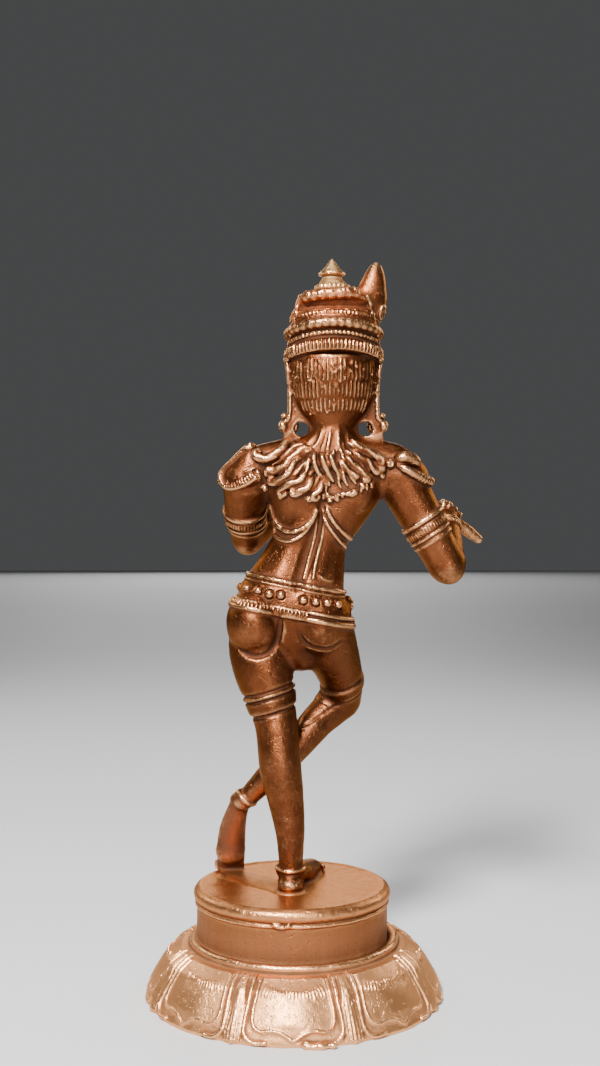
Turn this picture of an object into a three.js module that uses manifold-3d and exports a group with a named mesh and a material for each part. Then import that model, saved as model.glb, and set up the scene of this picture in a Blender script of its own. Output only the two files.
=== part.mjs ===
// A small cast metal flute player. The figure stands on its left leg, with the right leg crossed in front of
// it on its toes, and both hands hold a slanting flute to its right. Figure, flute and lotus plinth are one
// casting.
// Millimetres, +Z up. The origin is the middle of the plinth's underside, and the figure faces -Y.

import * as THREE from "three";
import { mergeVertices } from "three/addons/utils/BufferGeometryUtils.js";
import Module from "manifold-3d";

const wasm = await Module();
wasm.setup();

// Driving dimensions.
const FIGURE_HEIGHT = 128;
const LOTUS_RADIUS = 30.2;
const LOTUS_HEIGHT = 10.6;
const COLLAR_HEIGHT = 1.6;
const COLLAR_OVERHANG = 1.5;
const DRUM_RADIUS = 19.4;
const DRUM_HEIGHT = 9.8;
const LIP_HEIGHT = 2.4;
const LIP_OVERHANG = 0.8;
const PETAL_COUNT = 8;
const PETAL_RELIEF = 1.5;
const FLUTE_RADIUS = 1.15;
const BELT_STUDS = 26;
const HAIR_LOCKS = 17;
const FACETS = 9800;
const COPPER = { color: 0xb9714a, roughness: 0.36, metalness: 1 };

const PLINTH_TOP = LOTUS_HEIGHT + COLLAR_HEIGHT + DRUM_HEIGHT;

// The figure is drawn in parts, 128 to its height, measured from the middle of the plinth's top.
const PART = FIGURE_HEIGHT / 128;
const SUNK = 0.6;
const MERGE = 1e-4;
const UP = new THREE.Vector3(0, 0, 1);
const ACROSS = new THREE.Vector3(1, 0, 0);
const DEEP = new THREE.Vector3(0, 1, 0);

const at = (x, y, z) => new THREE.Vector3(x * PART, y * PART, PLINTH_TOP + z * PART);
const direction = (x, y, z) => new THREE.Vector3(x, y, z).normalize();

function solid(geometry) {
  const bare = geometry.index ? geometry.toNonIndexed() : geometry.clone();
  bare.deleteAttribute("normal");
  bare.deleteAttribute("uv");
  const merged = mergeVertices(bare, MERGE);
  return new wasm.Manifold(
    new wasm.Mesh({
      numProp: 3,
      vertProperties: merged.attributes.position.array,
      triVerts: new Uint32Array(merged.index.array),
    }),
  );
}

// A closed skin over rings of equally many points, which turn left about the way from the first ring to the
// last. Each end closes on its own pole. A closed hoop has no poles, and its last ring joins its first.
function skin(rings, poles = null) {
  const sides = rings[0].length;
  const points = rings.flat();
  const faces = [];
  const spans = poles ? rings.length - 1 : rings.length;
  for (let row = 0; row < spans; row++) {
    const above = (row + 1) % rings.length;
    for (let side = 0; side < sides; side++) {
      const next = (side + 1) % sides;
      const [a, b] = [row * sides + side, row * sides + next];
      const [c, d] = [above * sides + side, above * sides + next];
      faces.push(a, b, d, a, d, c);
    }
  }
  if (poles) {
    const [low, high] = [points.length, points.length + 1];
    const top = (rings.length - 1) * sides;
    points.push(...poles);
    for (let side = 0; side < sides; side++) {
      const next = (side + 1) % sides;
      faces.push(low, next, side, high, top + side, top + next);
    }
  }
  const geometry = new THREE.BufferGeometry().setFromPoints(points);
  geometry.setIndex(faces);
  return geometry;
}

// A smooth line through rows of numbers, read at any value of their first number.
function smoothRows(rows) {
  const size = rows[0].length;
  const line = new THREE.CubicInterpolant(
    rows.map((row) => row[0]),
    rows.flat(),
    size,
  );
  return (value) => [...line.evaluate(THREE.MathUtils.clamp(value, rows[0][0], rows.at(-1)[0]))];
}

// A limb with round ends along stations [x, y, z, radius] in parts. It may be flattened along one direction.
function limb(stations, { sides = 10, rows = 1, flat = null, share = 1 } = {}) {
  const path = new THREE.CatmullRomCurve3(stations.map(([x, y, z]) => at(x, y, z)), false, "catmullrom", 0.5);
  const count = (stations.length - 1) * rows;
  const frames = path.computeFrenetFrames(count);
  const girth = smoothRows(stations.map((station, index) => [index * rows, station[3] * PART]));
  const ring = (row, reach, shift) => {
    const radius = girth(row)[1];
    const middle = path.getPoint(row / count).addScaledVector(frames.tangents[row], shift * radius);
    return Array.from({ length: sides }, (_, side) => {
      const turn = (2 * Math.PI * side) / sides;
      const out = new THREE.Vector3()
        .addScaledVector(frames.normals[row], Math.cos(turn) * radius * reach)
        .addScaledVector(frames.binormals[row], Math.sin(turn) * radius * reach);
      if (flat) out.addScaledVector(flat, out.dot(flat) * (share - 1));
      return middle.clone().add(out);
    });
  };
  const [round, rise] = [0.74, 0.66];
  const rings = [
    ring(0, round, -rise),
    ...Array.from({ length: count + 1 }, (_, row) => ring(row, 1, 0)),
    ring(count, round, rise),
  ];
  const pole = (row, way) =>
    path.getPoint(row / count).addScaledVector(frames.tangents[row], way * girth(row)[1]);
  return solid(skin(rings, [pole(0, -1), pole(count, 1)]));
}

// A body of level rings through stations [z, x, y, half width, half depth] in parts. Power 2 gives round
// rings.
function stack(stations, { sides = 20, rows = 12, power = 2, exact = false } = {}) {
  const read = smoothRows(stations);
  const [low, high] = [stations[0][0], stations.at(-1)[0]];
  const levels = exact
    ? stations.map((station) => station[0])
    : Array.from({ length: rows + 1 }, (_, row) => low + ((high - low) * row) / rows);
  const values = exact ? stations : levels.map(read);
  const rings = values.map(([z, x, y, wide, deep]) =>
    Array.from({ length: sides }, (_, side) => {
      const turn = (2 * Math.PI * side) / sides;
      const [c, s] = [Math.cos(turn), Math.sin(turn)];
      const square = (value) => Math.sign(value) * Math.abs(value) ** (2 / power);
      return at(x + wide * square(c), y + deep * square(s), z);
    }),
  );
  const middle = ([z, x, y]) => at(x, y, z);
  return solid(skin(rings, [middle(values[0]), middle(values.at(-1))]));
}

function ball(x, y, z, radius, { sides = 10, stretch = [1, 1, 1] } = {}) {
  const geometry = new THREE.SphereGeometry(radius * PART, sides, Math.max(4, Math.round(sides * 0.6)));
  geometry.scale(...stretch);
  const middle = at(x, y, z);
  return solid(geometry.translate(middle.x, middle.y, middle.z));
}

// A ring around a limb: a closed profile of [out, along] steps in parts, turned about the axis at a point.
function bracelet(point, axis, radius, profile, sides) {
  const outline = profile.map(([out, along]) => new THREE.Vector2((radius + out) * PART, along * PART));
  const geometry = new THREE.LatheGeometry([...outline, outline[0]], sides);
  geometry.applyQuaternion(new THREE.Quaternion().setFromUnitVectors(DEEP, axis));
  const middle = at(...point);
  return solid(geometry.translate(middle.x, middle.y, middle.z));
}

// Profiles of rings, from the lower inner corner round the outside.
const ROLL = [[-1, -0.8], [0.45, -0.55], [0.45, 0.55], [-1, 0.8]];
const DOUBLE_ROLL = [
  [-1.2, -2.6], [0.4, -2.3], [0.4, -1.2], [-0.1, -0.6], [-0.1, 0.3], [0.55, 0.9], [0.55, 2.1], [-1.2, 2.6],
];
const ARMLET = [
  [-1.2, -2.3], [0.4, -2.1], [0.4, -1.3], [0.8, -1], [0.8, 1], [0.4, 1.3], [0.4, 2.1], [-1.2, 2.3],
];

// The figure's stance: stations of each limb in parts.
const TORSO = [
  [44.5, 0.4, 1.6, 6.5, 4.5],
  [50, 0.8, 1.9, 11.0, 6.6],
  [55.5, 0.9, 1.6, 11.3, 6.8],
  [60, 0.4, 1.0, 10.7, 6.4],
  [63.2, -0.4, 0.6, 9.8, 5.8],
  [66.2, -1.5, 0.3, 8.8, 5.4],
  [69.3, -2.8, 0.1, 8.1, 5.3],
  [72.3, -4.6, 0.0, 8.7, 5.7],
  [76.4, -5.8, 0.0, 10.4, 6.3],
  [80.4, -6.2, 0.0, 12.6, 6.5],
  [84.4, -6.4, 0.2, 15.4, 5.6],
  [87.2, -6.8, 0.6, 13.4, 4.6],
  [89.6, -7.3, 0.8, 8.5, 4.2],
  [93, -7.6, 0.4, 4.4, 4.2],
];
const LEFT_LEG = [
  [6.2, 2.0, 54, 6.2], [6.9, 2.2, 49, 6.5], [6.2, 2.4, 44, 6.0], [4.7, 2.8, 38, 4.9], [3.5, 3.7, 32.5, 4.25],
  [2.8, 4.6, 24.5, 4.1], [1.8, 5.0, 18.2, 3.45], [1.0, 5.3, 12.2, 2.8], [0.8, 5.5, 6.2, 2.35],
  [0.6, 5.6, 2, 2.5],
];
const LEFT_FOOT = [[0.7, 6.6, 1.5, 2.4], [0.1, 2.6, 2.4, 2.6], [-1.8, -4, 1.6, 2.8], [-3.5, -10.2, 0.8, 2.5]];
const RIGHT_THIGH = [
  [-5.2, 1.4, 54, 6.4], [-6.4, -0.8, 49, 6.2], [-8.1, -4.4, 43, 5.2], [-9.5, -8.2, 37, 4.3],
];
const RIGHT_SHIN = [
  [-9.4, -8.2, 36.4, 4.2], [-4.6, -5.4, 32.1, 3.5], [0.6, -2.7, 26.8, 3.1], [5.4, -2.6, 21.4, 2.6],
  [9.2, -4.0, 17.2, 2.1],
];
const RIGHT_FOOT = [
  [10.5, -4.6, 15.6, 2.2], [12.0, -6.6, 10.4, 2.5], [13.4, -8.9, 4.8, 3.0], [13.7, -10.6, 0.8, 3.0],
];
const LEFT_ARM = [[9.6, 0, 82, 4.9], [10.2, -3.6, 76.6, 4.1], [9.6, -8.6, 71.8, 3.8]];
const LEFT_FOREARM = [
  [9.4, -9.0, 71.4, 3.7], [3.0, -13, 76.8, 3.1], [-5.8, -14.6, 83.4, 2.3], [-9.4, -14.4, 86.4, 2.1],
];
const RIGHT_ARM = [[-22.0, 0.2, 82.3, 5.0], [-26.1, 0.4, 74.6, 4.4], [-31.1, -0.2, 65.6, 3.9]];
const RIGHT_FOREARM = [[-31.3, -0.8, 65.6, 3.8], [-32.2, -7, 70, 3.1], [-33.0, -12.6, 74.2, 2.2]];
const HEAD_X = -7.8;
const FLUTE_FROM = [-6.4, -9.9, 95.6];
const FLUTE_TO = [-40, -17.2, 70.4];

const torsoAt = smoothRows(TORSO);

// The trunk's skin at a height: turn 0 is the figure's left, and a quarter turn is its back.
function onTorso(turn, z, lift = 0) {
  const [, x, y, wide, deep] = torsoAt(z);
  return [x + (wide + lift) * Math.cos(turn), y + (deep + lift) * Math.sin(turn), z];
}

// The belt's section from below: a lower ridge, the band that carries the studs, and an upper cord.
const BELT_HEIGHT = 58.2;
const BELT_LEAN = 0.19;
const STUD_RADIUS = 1.05;
const BELT = [
  [-1.5, -4.7], [0.5, -4.5], [1.3, -3.4], [0.4, -2.3], [0.4, 1.9], [1.0, 2.6], [0.5, 3.4], [-1.5, 3.6],
];

// The belt winds round the hips on a slant.
const beltAt = (turn) => BELT_HEIGHT + BELT_LEAN * onTorso(turn, BELT_HEIGHT)[0];

function belt() {
  const steps = 28;
  const rings = Array.from({ length: steps }, (_, step) => {
    const turn = (2 * Math.PI * step) / steps;
    const middle = beltAt(turn);
    return BELT.map(([lift, rise]) => {
      const [x, y] = onTorso(turn, middle + rise, lift);
      return at(x, y, middle + rise);
    });
  });
  return solid(skin(rings.map((ring) => ring.reverse())));
}

function studs() {
  return Array.from({ length: BELT_STUDS }, (_, index) => {
    const turn = (2 * Math.PI * (index + 0.25)) / BELT_STUDS;
    return ball(...onTorso(turn, beltAt(turn) - 0.3, 0.45), STUD_RADIUS, { sides: 6 });
  });
}

// How far the lotus stands out at a turn across one petal, -1 to 1, and a fall from collar 0 to rim 1.
function petalRelief(turn, fall) {
  const side = Math.abs(turn);
  const leaf = 1 - 0.35 * (side / 0.6) ** 2;
  const pleat = 0.5 * THREE.MathUtils.smoothstep(side, 0.8, 1);
  const relief = side < 0.7 ? leaf : pleat;
  return PETAL_RELIEF * (relief * THREE.MathUtils.smoothstep(fall, 0, 0.4) - 0.6);
}

function lotus() {
  const collarRadius = DRUM_RADIUS + COLLAR_OVERHANG;
  const columns = PETAL_COUNT * 10;
  const falls = [0, 0.16, 0.42, 0.7, 0.92, 1];
  const ring = (fall) =>
    Array.from({ length: columns }, (_, column) => {
      const angle = (2 * Math.PI * column) / columns + Math.PI / 2;
      const across = ((column / columns) * PETAL_COUNT * 2 + 1) % 2 - 1;
      const reach = Math.sin(Math.min(1, fall * 1.04) * 0.5 * Math.PI * 0.97) ** 0.9;
      const radius = collarRadius + (LOTUS_RADIUS - collarRadius) * reach + petalRelief(across, fall) - 0.4;
      const height = LOTUS_HEIGHT * (1 - fall ** 1.25);
      return new THREE.Vector3(Math.cos(angle) * radius, Math.sin(angle) * radius, height);
    });
  const rings = falls.toReversed().map(ring);
  return solid(skin(rings, [new THREE.Vector3(0, 0, 0), new THREE.Vector3(0, 0, LOTUS_HEIGHT)]));
}

// The collar, the drum's wall, the bead under its lip and the rounded lip, turned as one profile.
function drum() {
  const wallFoot = LOTUS_HEIGHT + COLLAR_HEIGHT;
  const lipFoot = PLINTH_TOP - LIP_HEIGHT;
  const bead = 0.9;
  const lip = DRUM_RADIUS + LIP_OVERHANG;
  const profile = [
    [0, LOTUS_HEIGHT - SUNK],
    [DRUM_RADIUS + COLLAR_OVERHANG, LOTUS_HEIGHT - SUNK],
    [DRUM_RADIUS + COLLAR_OVERHANG, LOTUS_HEIGHT + COLLAR_HEIGHT * 0.6],
    [DRUM_RADIUS, wallFoot],
    [DRUM_RADIUS, lipFoot - bead],
    [DRUM_RADIUS + 0.6, lipFoot - bead * 0.5],
    [DRUM_RADIUS + 0.1, lipFoot],
    [lip, lipFoot + LIP_HEIGHT * 0.35],
    [lip - 0.3, PLINTH_TOP - 0.6],
    [lip - 1.5, PLINTH_TOP],
    [0, PLINTH_TOP],
  ].map(([radius, z]) => new THREE.Vector2(radius, z));
  return solid(new THREE.LatheGeometry(profile, 32).rotateX(Math.PI / 2));
}

function legs() {
  return [
    limb(LEFT_LEG, { sides: 12 }),
    limb(LEFT_FOOT, { flat: UP, share: 0.72 }),
    limb(RIGHT_THIGH, { sides: 12 }),
    limb(RIGHT_SHIN),
    limb(RIGHT_FOOT, { sides: 8, flat: DEEP, share: 0.7 }),
    ball(7.2, 2.9, 53.2, 6.7, { sides: 14 }),
    ball(-4.9, 2.1, 51.4, 6.5, { sides: 14 }),
    ...toes(-3.6, -11.4, 0.4, direction(-0.25, -1, 0)),
    ...toes(13.8, -12.0, 0.6, direction(0.1, -1, 0)),
  ];
}

// Five toes in a row across the end of a foot.
function toes(x, y, z, forward) {
  const side = new THREE.Vector3().crossVectors(forward, UP);
  const radius = 0.72;
  return Array.from({ length: 5 }, (_, index) => {
    const shift = (index - 2) * 1.02;
    const reach = 1.3 - Math.abs(index - 2) * 0.25;
    const [fromX, fromY] = [x + side.x * shift, y + side.y * shift];
    const stations = [
      [fromX - forward.x, fromY - forward.y, z + 0.3, radius],
      [fromX + forward.x * reach, fromY + forward.y * reach, z, radius],
    ];
    return limb(stations, { sides: 5 });
  });
}

function anklesAndHems() {
  return [
    bracelet([4.7, 2.9, 37.9], direction(0.26, 0.1, 1), 4.95, DOUBLE_ROLL, 14),
    bracelet([-8.9, -6.4, 40], direction(0.3, 0.55, 0.8), 4.6, DOUBLE_ROLL, 12),
    bracelet([0.7, 5.5, 4.6], UP, 2.35, ROLL, 8),
    bracelet([8.3, -3.5, 18.4], direction(0.62, -0.2, -0.72), 2.15, ROLL, 8),
  ];
}

function trunk() {
  return [
    stack(TORSO, { sides: 16, rows: 11 }),
    limb([[1, 0.4, 87.6, 3.2], [7.4, 0.4, 85.4, 3.6], [10.6, 0.2, 82.6, 4.0]]),
    limb([[-15, 0.4, 87, 3.2], [-20.6, 0.4, 84.8, 3.8], [-22.4, 0.2, 83, 4.4]]),
    belt(),
    ...studs(),
    ...chestBand(),
    ...spineCord(),
    ...necklaces(),
    ...sash(),
  ];
}

// The looped band under the shoulder blades, which meets at the spine.
function chestBand() {
  const loop = (turns) => turns.map(([turn, z]) => [...onTorso(turn * Math.PI, z, 0.1), 0.6]);
  return [
    limb(loop([[0.5, 76.4], [0.42, 70.6], [0.3, 69.6], [0.16, 72.4], [0.05, 74.6]]), { sides: 5 }),
    limb(loop([[0.52, 76.2], [0.6, 71.2], [0.72, 67.8], [0.86, 66.6]]), { sides: 5 }),
  ];
}

function spineCord() {
  return [-0.9, 0.9].map((shift) => {
    const points = [75, 70, 65, 61.5].map((z) => {
      const [x, y] = onTorso(0.54 * Math.PI, z, 0);
      return [x + shift, y, z, 0.45];
    });
    return limb(points, { sides: 4 });
  });
}

// A collar of beads close to the neck and a longer string over the chest, both only on the front.
function necklaces() {
  const string = (low, spread, radius) => {
    const points = [-1, -0.6, -0.2, 0.2, 0.6, 1].map((share) => {
      const z = 87.5 - (87.5 - low) * (1 - share * share);
      return [...onTorso(1.5 * Math.PI + share * spread, z, 0.1), radius];
    });
    return limb(points, { sides: 5 });
  };
  return [string(83.6, 0.75, 0.8), string(77.5, 0.85, 0.65)];
}

// The short waistcloth's pleats in front and a tied end at each hip.
function sash() {
  const middle = 0.6;
  const pleat = (shift) => [
    [shift + 0.2, -5.2, 56, 1.1], [shift * 1.3, -6.2, 50, 1.1], [shift * 1.7, -5.6, 43.5, 0.9],
  ];
  const tie = (side) => [
    [middle + side * 11.2, -1, 57, 1.2],
    [middle + side * 12.6, -1.6, 51.5, 1],
    [middle + side * 12.4, -2, 46, 1.2],
  ];
  return [
    ...[-1.5, 0, 1.5].map((shift) => limb(pleat(shift), { sides: 5 })),
    ball(0.2, -5.9, 58, 2.1, { sides: 6, stretch: [1, 0.6, 1] }),
    ...[1, -1].map((side) => limb(tie(side), { sides: 5, flat: ACROSS, share: 0.6 })),
  ];
}

function arms() {
  return [
    limb(LEFT_ARM),
    limb(LEFT_FOREARM, { sides: 8 }),
    limb(RIGHT_ARM),
    limb(RIGHT_FOREARM, { sides: 8 }),
    bracelet([10.1, -4.8, 75.2], direction(-0.02, -0.62, -0.78), 3.95, ARMLET, 12),
    bracelet([-28.0, 0.2, 71.2], direction(-0.47, -0.03, -0.88), 4.15, ARMLET, 12),
    bracelet([-5.0, -14.5, 82.3], direction(-0.74, -0.14, 0.65), 2.4, ROLL, 8),
    bracelet([-32.8, -11.2, 73.2], direction(-0.12, -0.79, 0.6), 2.4, ROLL, 8),
    shoulderRing([9.9, 0.2, 82.4], direction(0.6, 0.05, 0.8), 5.0),
    shoulderRing([-22.6, 0.2, 83.0], direction(-0.66, 0.05, 0.75), 5.1),
  ];
}

// The ribbed edge of the shoulder ornament, a ring about the top of the arm.
function shoulderRing(point, axis, radius) {
  const geometry = new THREE.TorusGeometry(radius * PART, 0.95 * PART, 5, 14);
  geometry.applyQuaternion(new THREE.Quaternion().setFromUnitVectors(UP, axis));
  const middle = at(...point);
  return solid(geometry.translate(middle.x, middle.y, middle.z));
}

function flutePoint(share) {
  return FLUTE_FROM.map((value, index) => value + (FLUTE_TO[index] - value) * share);
}

function flute() {
  const radius = FLUTE_RADIUS / PART;
  const tube = [[...FLUTE_FROM, radius], [...flutePoint(0.5), radius], [...FLUTE_TO, radius * 1.05]];
  return limb(tube, { sides: 8 });
}

// A palm beside the flute, four fingers of unlike length that curl over it and a thumb below.
function hand(wrist, share, side) {
  const grip = flutePoint(share);
  const along = direction(...FLUTE_TO.map((value, index) => value - FLUTE_FROM[index]));
  const step = 1.3;
  const over = FLUTE_RADIUS / PART + 0.65;
  const palm = grip.map((value, index) => value * 0.62 + wrist[index] * 0.38);
  const fingers = [0.9, 1.06, 1, 0.84].map((size, finger) => {
    const shift = along.toArray().map((value) => value * step * (finger - 1.5));
    const place = (x, y, z) => [
      grip[0] + shift[0] + x, grip[1] + shift[1] + y * size, grip[2] + shift[2] + z * size,
    ];
    const root = palm.map((value, index) => value + shift[index] * 0.8);
    const stations = [
      [...root, 0.8 * size],
      [...place(0.8 * side, 0.8, over), 0.74 * size],
      [...place(-0.3, -over, 1.2), 0.68 * size],
      [...place(-0.5, -over, -0.4), 0.62 * size],
    ];
    return limb(stations, { sides: 5 });
  });
  const thumb = [[...palm, 0.9], [grip[0] + 0.4, grip[1] + 0.4, grip[2] - over, 0.75]];
  return [
    limb([[...wrist, 1.9], [...palm, 2.2]], { sides: 8, flat: along, share: 1.15 }),
    ...fingers,
    limb(thumb, { sides: 5 }),
  ];
}

// The head's face is plain and calm: brows, lowered lids, nose, lips and chin in even proportion.
function head() {
  const x = HEAD_X;
  const brow = (side) => [
    [x + side * 1.1, -8.1, 102, 0.35], [x + side * 2.8, -7.9, 102.9, 0.35], [x + side * 4.6, -6.5, 102, 0.3],
  ];
  const ear = (side) => [
    [x + side * 7.4, -0.6, 101.5, 1.1], [x + side * 7.9, -0.8, 98, 1.2], [x + side * 8.1, -0.9, 94.6, 1.3],
  ];
  const face = [
    [91.4, x, -4.4, 1.6, 1.8], [92.4, x, -3.6, 3.2, 3.6], [94, x, -2.6, 4.7, 5.4], [96.5, x, -1.4, 6.0, 6.8],
    [99.5, x, -0.6, 6.8, 7.9], [103, x, 0, 7.2, 8.6], [107, x, 0, 7.2, 8.6],
  ];
  const hair = [
    [93.2, x, 3.0, 5.4, 3.2], [95, x, 2.8, 7.6, 4.4], [97.5, x, 2.4, 8.6, 5.6], [101, x, 2.2, 9.0, 6.3],
    [105.6, x, 2.0, 9.1, 6.4],
  ];
  return [
    limb([[x + 0.4, 1.0, 87, 4.3], [x, 0.6, 95, 4.0]]),
    stack(face, { sides: 14, rows: 6 }),
    stack(hair, { sides: 16, exact: true, power: 2.5 }),
    limb([[x, -7.8, 102.4, 0.75], [x, -8.6, 99.6, 0.9], [x, -9.2, 97.9, 1.25]], { sides: 6 }),
    ball(x, -7.9, 95.4, 1.5, { sides: 6, stretch: [1.1, 0.6, 0.42] }),
    ball(x, -7.6, 94.2, 1.3, { sides: 6, stretch: [1, 0.7, 0.45] }),
    ball(x, -6.4, 92.2, 1.5, { sides: 6 }),
    ...[-1, 1].flatMap((side) => [
      ball(x + side * 2.7, -7.3, 100.2, 1.45, { sides: 6, stretch: [1, 0.7, 0.48] }),
      limb(brow(side), { sides: 4 }),
      limb(ear(side), { sides: 5 }),
    ]),
    hairSlab(),
  ];
}

// The flat frame of hair and ear ornaments behind the face, open between each ornament and the neck.
function hairSlab() {
  const thick = 2.6;
  const edge = [[10.5, 88.6], [10.6, 93.2], [9.7, 94.6], [9.4, 97.5], [9.9, 106.4]];
  const half = (side) => edge.map(([x, z]) => new THREE.Vector2(x * side * PART, z * PART));
  const outline = [...half(1), ...half(-1).reverse()];
  const shape = new THREE.Shape(outline);
  const openings = [-1, 1].map((side) =>
    new THREE.Path().absarc(side * 6.5 * PART, 92.7 * PART, 1.5 * PART, 0, 2 * Math.PI, true));
  shape.holes.push(...openings);
  const extrusion = { depth: thick * PART, bevelEnabled: false, curveSegments: 6 };
  const geometry = new THREE.ExtrudeGeometry(shape, extrusion);
  geometry.rotateX(Math.PI / 2);
  return solid(geometry.translate(HEAD_X * PART, (1.6 + thick / 2) * PART, PLINTH_TOP));
}

// Locks that spread from the nape over the back and the shoulders. They are one ridged skin: every other
// column is a furrow that ends shorter and lower, and between two furrows lies one lock.
function hairFall() {
  const [napeX, napeZ] = [HEAD_X + 0.3, 92.4];
  const [napeHalf, fallHalf, fallDepth] = [4.6, 13.4, 14.2];
  const columns = HAIR_LOCKS * 2 + 1;
  const rings = Array.from({ length: columns }, (_, column) => {
    const fan = 1 - (2 * column) / (columns - 1);
    const lock = column % 2 === 1;
    const long = Math.floor(column / 2) % 2 === 1;
    const reach = lock ? (long ? 1.06 : 0.97) : 0.86;
    const point = (share, lift) => {
      const [sine, cosine] = [Math.sin(fan * 1.36), Math.cos(fan * 1.36)];
      const out = share * reach;
      const wave = 0.5 * Math.sin(share * 4 + column / 2);
      const x = napeX + fan * napeHalf * (1 - out) + sine * fallHalf * out + wave;
      const sag = 2.2 * out * (1 - out) * Math.abs(fan);
      const z = napeZ - out * (2.2 + fallDepth * cosine - 1.4 * Math.abs(fan)) - sag;
      const [, middle, y, wide, deep] = torsoAt(z);
      const off = THREE.MathUtils.clamp((x - middle) / wide, -0.94, 0.94);
      return at(x, y + deep * Math.sqrt(1 - off * off) + lift, z);
    };
    const crest = lock ? 1.5 : 0.2;
    return [
      point(0, 1.2), point(0.3, crest), point(0.65, crest + 0.1),
      point(1, lock ? 0.7 : 0), point(1, -1.6), point(0, -2),
    ];
  });
  const middleOf = (ring) =>
    ring.reduce((sum, point) => sum.add(point), new THREE.Vector3()).divideScalar(ring.length);
  return solid(skin(rings, [middleOf(rings[0]), middleOf(rings.at(-1))]));
}

function crown() {
  const x = HEAD_X - 0.1;
  const rise = [
    [105.2, 9.5, 8.8], [105.6, 10.1, 9.4], [109.6, 10.1, 9.4], [110.0, 9.3, 8.6], [110.5, 9.9, 9.1],
    [112.6, 9.7, 8.9], [113.0, 9.1, 8.3], [114.1, 9.4, 8.5], [115.2, 8.7, 7.9], [117.7, 7.5, 6.9],
    [118.3, 6.4, 5.9], [119.2, 7.0, 6.4], [120.6, 6.6, 6.0], [121.3, 4.4, 4.2], [122.4, 3.6, 3.4],
    [123.0, 2.1, 2.1], [124.6, 1.8, 1.8], [124.9, 2.8, 2.8], [126.1, 1.7, 1.7],
  ];
  const stations = rise.map(([z, wide, deep]) => [z, x + Math.max(0, z - 121) * 0.1, 0.3, wide, deep]);
  const finial = [
    [125.8, x + 0.5, 0.3, 1.9, 1.9], [127, x + 0.5, 0.3, 0.9, 0.9], [128, x + 0.5, 0.3, 0.15, 0.15],
  ];
  const strip = (side) => [
    [x + side * 9.2, 4.2, 109.5, 0.9], [x + side * 8.6, 4, 114, 0.9], [x + side * 7, 3.6, 118.8, 0.9],
  ];
  return [
    stack(stations, { sides: 18, power: 2.2, exact: true }),
    stack(finial, { sides: 8, exact: true }),
    limb(strip(1), { sides: 5 }),
    limb(strip(-1), { sides: 5 }),
    limb(
      [[-15.4, 0.8, 112, 1.4], [-16.4, 0.8, 117, 2.1], [-17.0, 0.8, 122, 2.2], [-17.2, 0.8, 125.9, 1.2]],
      { sides: 8, flat: DEEP, share: 0.6 },
    ),
    ball(x, -9.2, 112.5, 2.2, { sides: 6, stretch: [1, 0.5, 1.3] }),
  ];
}

const casting = wasm.Manifold.union([
  lotus(),
  drum(),
  ...legs(),
  ...anklesAndHems(),
  ...trunk(),
  ...arms(),
  flute(),
  ...hand(LEFT_FOREARM.at(-1).slice(0, 3), 0.27, 1),
  ...hand(RIGHT_FOREARM.at(-1).slice(0, 3), 0.8, -1),
  ...head(),
  hairFall(),
  ...crown(),
]);

// Pockets that the joined forms close all round are filled, as they are in a casting.
const shells = casting.decompose().filter((shell) => shell.volume() > 0);

// How far a place lies from the facets that met at a point, as a squared distance weighed by their areas.
function strain(quadric, { x, y, z }) {
  const [xx, xy, xz, xd, yy, yz, yd, zz, zd, dd] = quadric;
  const alongX = x * (xx * x + 2 * (xy * y + xz * z + xd));
  const alongY = y * (yy * y + 2 * (yz * z + yd));
  return alongX + alongY + z * (zz * z + 2 * zd) + dd;
}

// Twice the area below which a facet has no side that can be trusted.
const SLIVER = 2e-3;

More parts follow.
